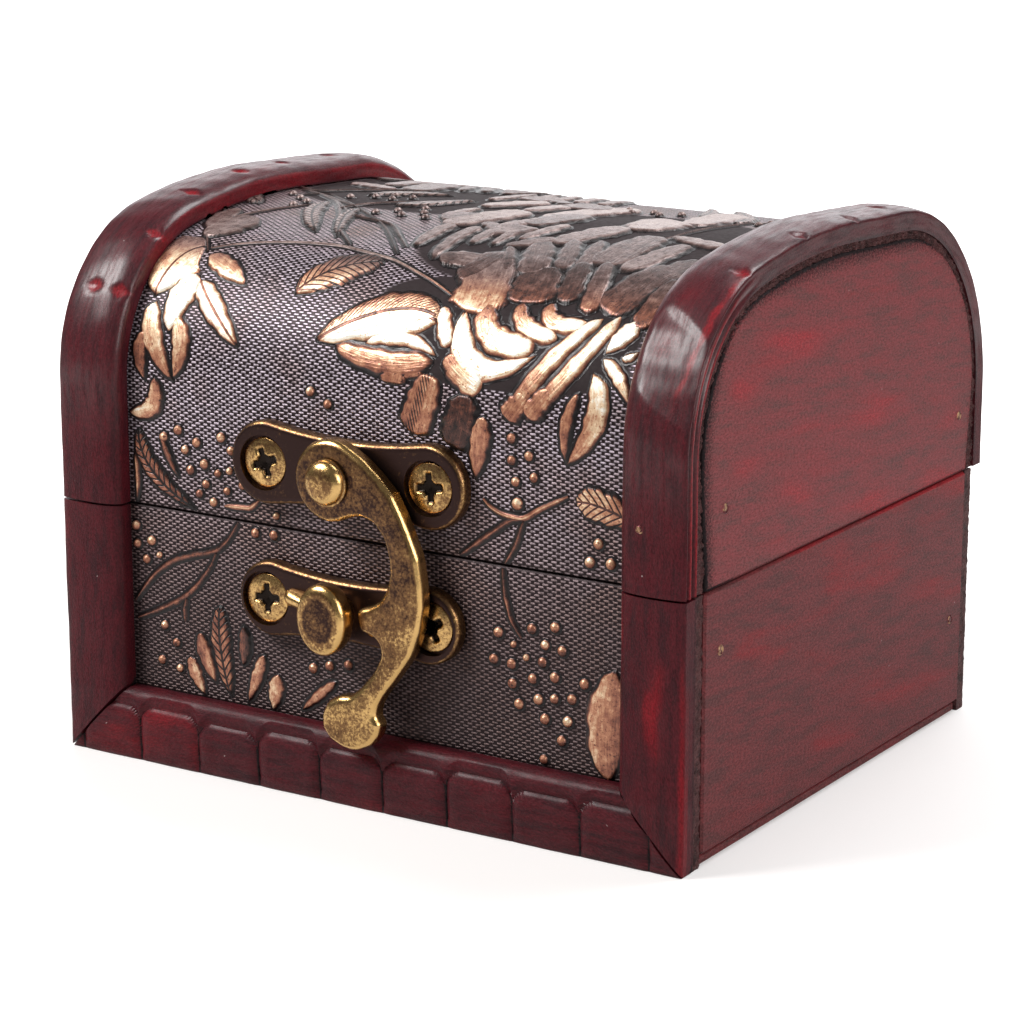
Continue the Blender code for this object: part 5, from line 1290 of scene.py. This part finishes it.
# Rivet: a turned brass rivet through the hook's eye, peened into a round dome with a small shoulder.
# It is the most handled part of the lid's fitting, so it is rubbed to a mottled gold.
RIVET_RADIUS = 2.6
RIVET_SIDES = 64
rivet_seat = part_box("latch_rivet")[0].y / MM + 1.5
rivet_profile = [(0.9, PLATE_FACE_Y + 0.2), (0.9, rivet_seat + 0.05), (RIVET_RADIUS, rivet_seat + 0.02),
                 (RIVET_RADIUS, rivet_seat - 0.18)]
for turn in np.linspace(0, math.pi / 2, 16):
    rivet_reach = max(RIVET_RADIUS * (0.93 * math.cos(turn) ** 0.8), 0.01)
    rivet_profile.append((rivet_reach, rivet_seat - 0.24 - 1.24 * math.sin(turn)))
rings = turned_grid(rivet_profile, PIVOT_X, PIVOT_Z, RIVET_SIDES)[:, ::-1]
casting("rivet_dome", rings, hook_brass, "lid", "antique_brass", {"worn": np.full(rings.shape[:2], 0.50)},
        "latch_rivet")

# Keeper knob: an oval brass button on a neck, cast with the rounded rib that braces it to the plate.
# The hook's tooth swings in behind it. Its face is browned flat and its rim is rubbed gold.
KNOB_HALF = 3.1
KNOB_SQUASH = 7.8 / 6.2
KNOB_SIDES = 72
RIB_RADIUS = 1.0
knob_low, knob_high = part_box("keeper_knob")
KNOB_X = knob_high.x / MM - KNOB_HALF
knob_face = knob_low.y / MM
knob_back = knob_face + 2.6
knob_profile = [(1.7, PLATE_FACE_Y + 0.1), (1.7, knob_back + 0.25), (2.0, knob_back), (2.75, knob_back),
                (3.02, knob_back - 0.18), (KNOB_HALF, knob_back - 0.5)]
knob_profile += [(KNOB_HALF - 1.0 * (1 - math.cos(turn)), knob_face + 0.95 - 0.85 * math.sin(turn))
                 for turn in np.linspace(0, math.pi / 2, 14)]
knob_profile += [(1.8, knob_face + 0.06), (1.2, knob_face + 0.02), (0.6, knob_face), (0.02, knob_face)]
rings = turned_grid(knob_profile, KNOB_X, KEEPER_Z, KNOB_SIDES, KNOB_SQUASH)[:, ::-1]
knob_worn = np.where(np.array(knob_profile)[:, :1] > 1.9, 0.55, 0.16) + 0 * rings[..., 0]
casting("keeper_button", rings, hook_brass, "base", "antique_brass", {"worn": knob_worn}, "keeper_knob")

rib_start = knob_low.x / MM
rib_run = KNOB_X - rib_start
along = np.concatenate([1 - np.cos(np.linspace(0, math.pi / 2, 12)), np.linspace(1.15, rib_run, 24)])[:, None]
swell = quarter_round(along) * RIB_RADIUS + 0.01
angle = np.linspace(0, math.pi, 19)
rise = (PLATE_FACE_Y - knob_back) * along / rib_run
rib_y = PLATE_FACE_Y + 0.1 - np.sin(angle) * (swell * 1.05 + rise * 0.95)
rib_z = KEEPER_Z + 0.8 * (1 - along / rib_run) + np.cos(angle) * swell
rings = np.stack([rib_start + along + 0 * angle, rib_y, rib_z], axis=-1)
casting("keeper_rib", rings, hook_brass, "base", "antique_brass", {"worn": np.full(rings.shape[:2], 0.75)})

# Brads and nails: small steel pins that hold the strips and the side boards. Their heads are sunk and
# stained over with the wood, with a worn glint on a few.
nail_metal, nail_tree, nail_shader = new_material("stained_nails")
nail_spots = stretched_noise(millimetres(nail_tree), (1.7, 1.7, 1.7), 3.0)
nail_colour = blend_colour(ramp(nail_spots, 0.42, 0.62), (0.10, 0.018, 0.022, 1.0), (0.42, 0.26, 0.14, 1.0))
feed(nail_shader,
     {"Base Color": nail_colour, "Roughness": ramp(nail_spots, 0.3, 0.7, 0.3, 0.6), "Metallic": 0.6})


def nail_heads(name, places, body):
    """Round heads with a raised rim: rings about a centre, lifted along the outward direction there."""
    table = np.array(places)
    centre, out, radius = table[:, 0:3], table[:, 3:6], table[:, 6][:, None, None, None]
    first = np.cross(out, (0.0, 0.3, 1.0))
    first /= np.linalg.norm(first, axis=1, keepdims=True)
    second = np.cross(out, first)
    ring = np.array([1.15, 1.0, 0.8, 0.62, 0.35, 0.02])
    level = np.array([-0.10, 0.06, 0.12, 0.05, 0.06, 0.07])
    angle = round_angles(16)
    disc = (np.cos(angle)[None, None, :, None] * first[:, None, None] + np.sin(angle)[None, None, :, None]
            * second[:, None, None]) * ring[None, :, None, None] * radius
    points = centre[:, None, None] + disc + out[:, None, None] * level[None, :, None, None]
    mesh = skinned(name, points, grid_faces(6, 16, len(table), True).tolist(), points[..., :2], {}, crease=60)
    add_piece(name, mesh, nail_metal, body, "screw_brass")


FRONT = (0.0, -1.0, 0.0)
RIGHT = (1.0, 0.0, 0.0)
LEFT = (-1.0, 0.0, 0.0)
nail_heads("lid_nail_heads", [
    (40.0, MIDDLE_Y - 27.0, 37.2, *RIGHT, 0.55), (40.0, MIDDLE_Y + 28.4, 36.2, *RIGHT, 0.5),
    (-40.0, MIDDLE_Y - 27.0, 37.2, *LEFT, 0.55), (-40.0, MIDDLE_Y + 28.4, 36.2, *LEFT, 0.5),
    (37.6, STRIP_FRONT - 2.28, 42.95, *FRONT, 0.5), (34.8, STRIP_FRONT - 2.5, 36.1, *FRONT, 0.45),
    (-37.2, STRIP_FRONT - 2.35, 42.0, *FRONT, 0.45)], "lid")
nail_heads("base_nail_heads", [
    (40.0, MIDDLE_Y - 27.6, 22.5, *RIGHT, 0.55), (-40.0, MIDDLE_Y - 27.6, 22.5, *LEFT, 0.55),
    (40.0, MIDDLE_Y + 27.9, 12.0, *RIGHT, 0.5), (-40.0, MIDDLE_Y + 27.9, 12.0, *LEFT, 0.5),
    (37.2, STRIP_FRONT - 2.33, 25.3, *FRONT, 0.55), (37.3, STRIP_FRONT - 2.33, 13.7, *FRONT, 0.55),
    (-37.2, STRIP_FRONT - 2.33, 24.0, *FRONT, 0.5), (23.9, STRIP_FRONT - 2.2, 4.2, *FRONT, 0.45)], "base")
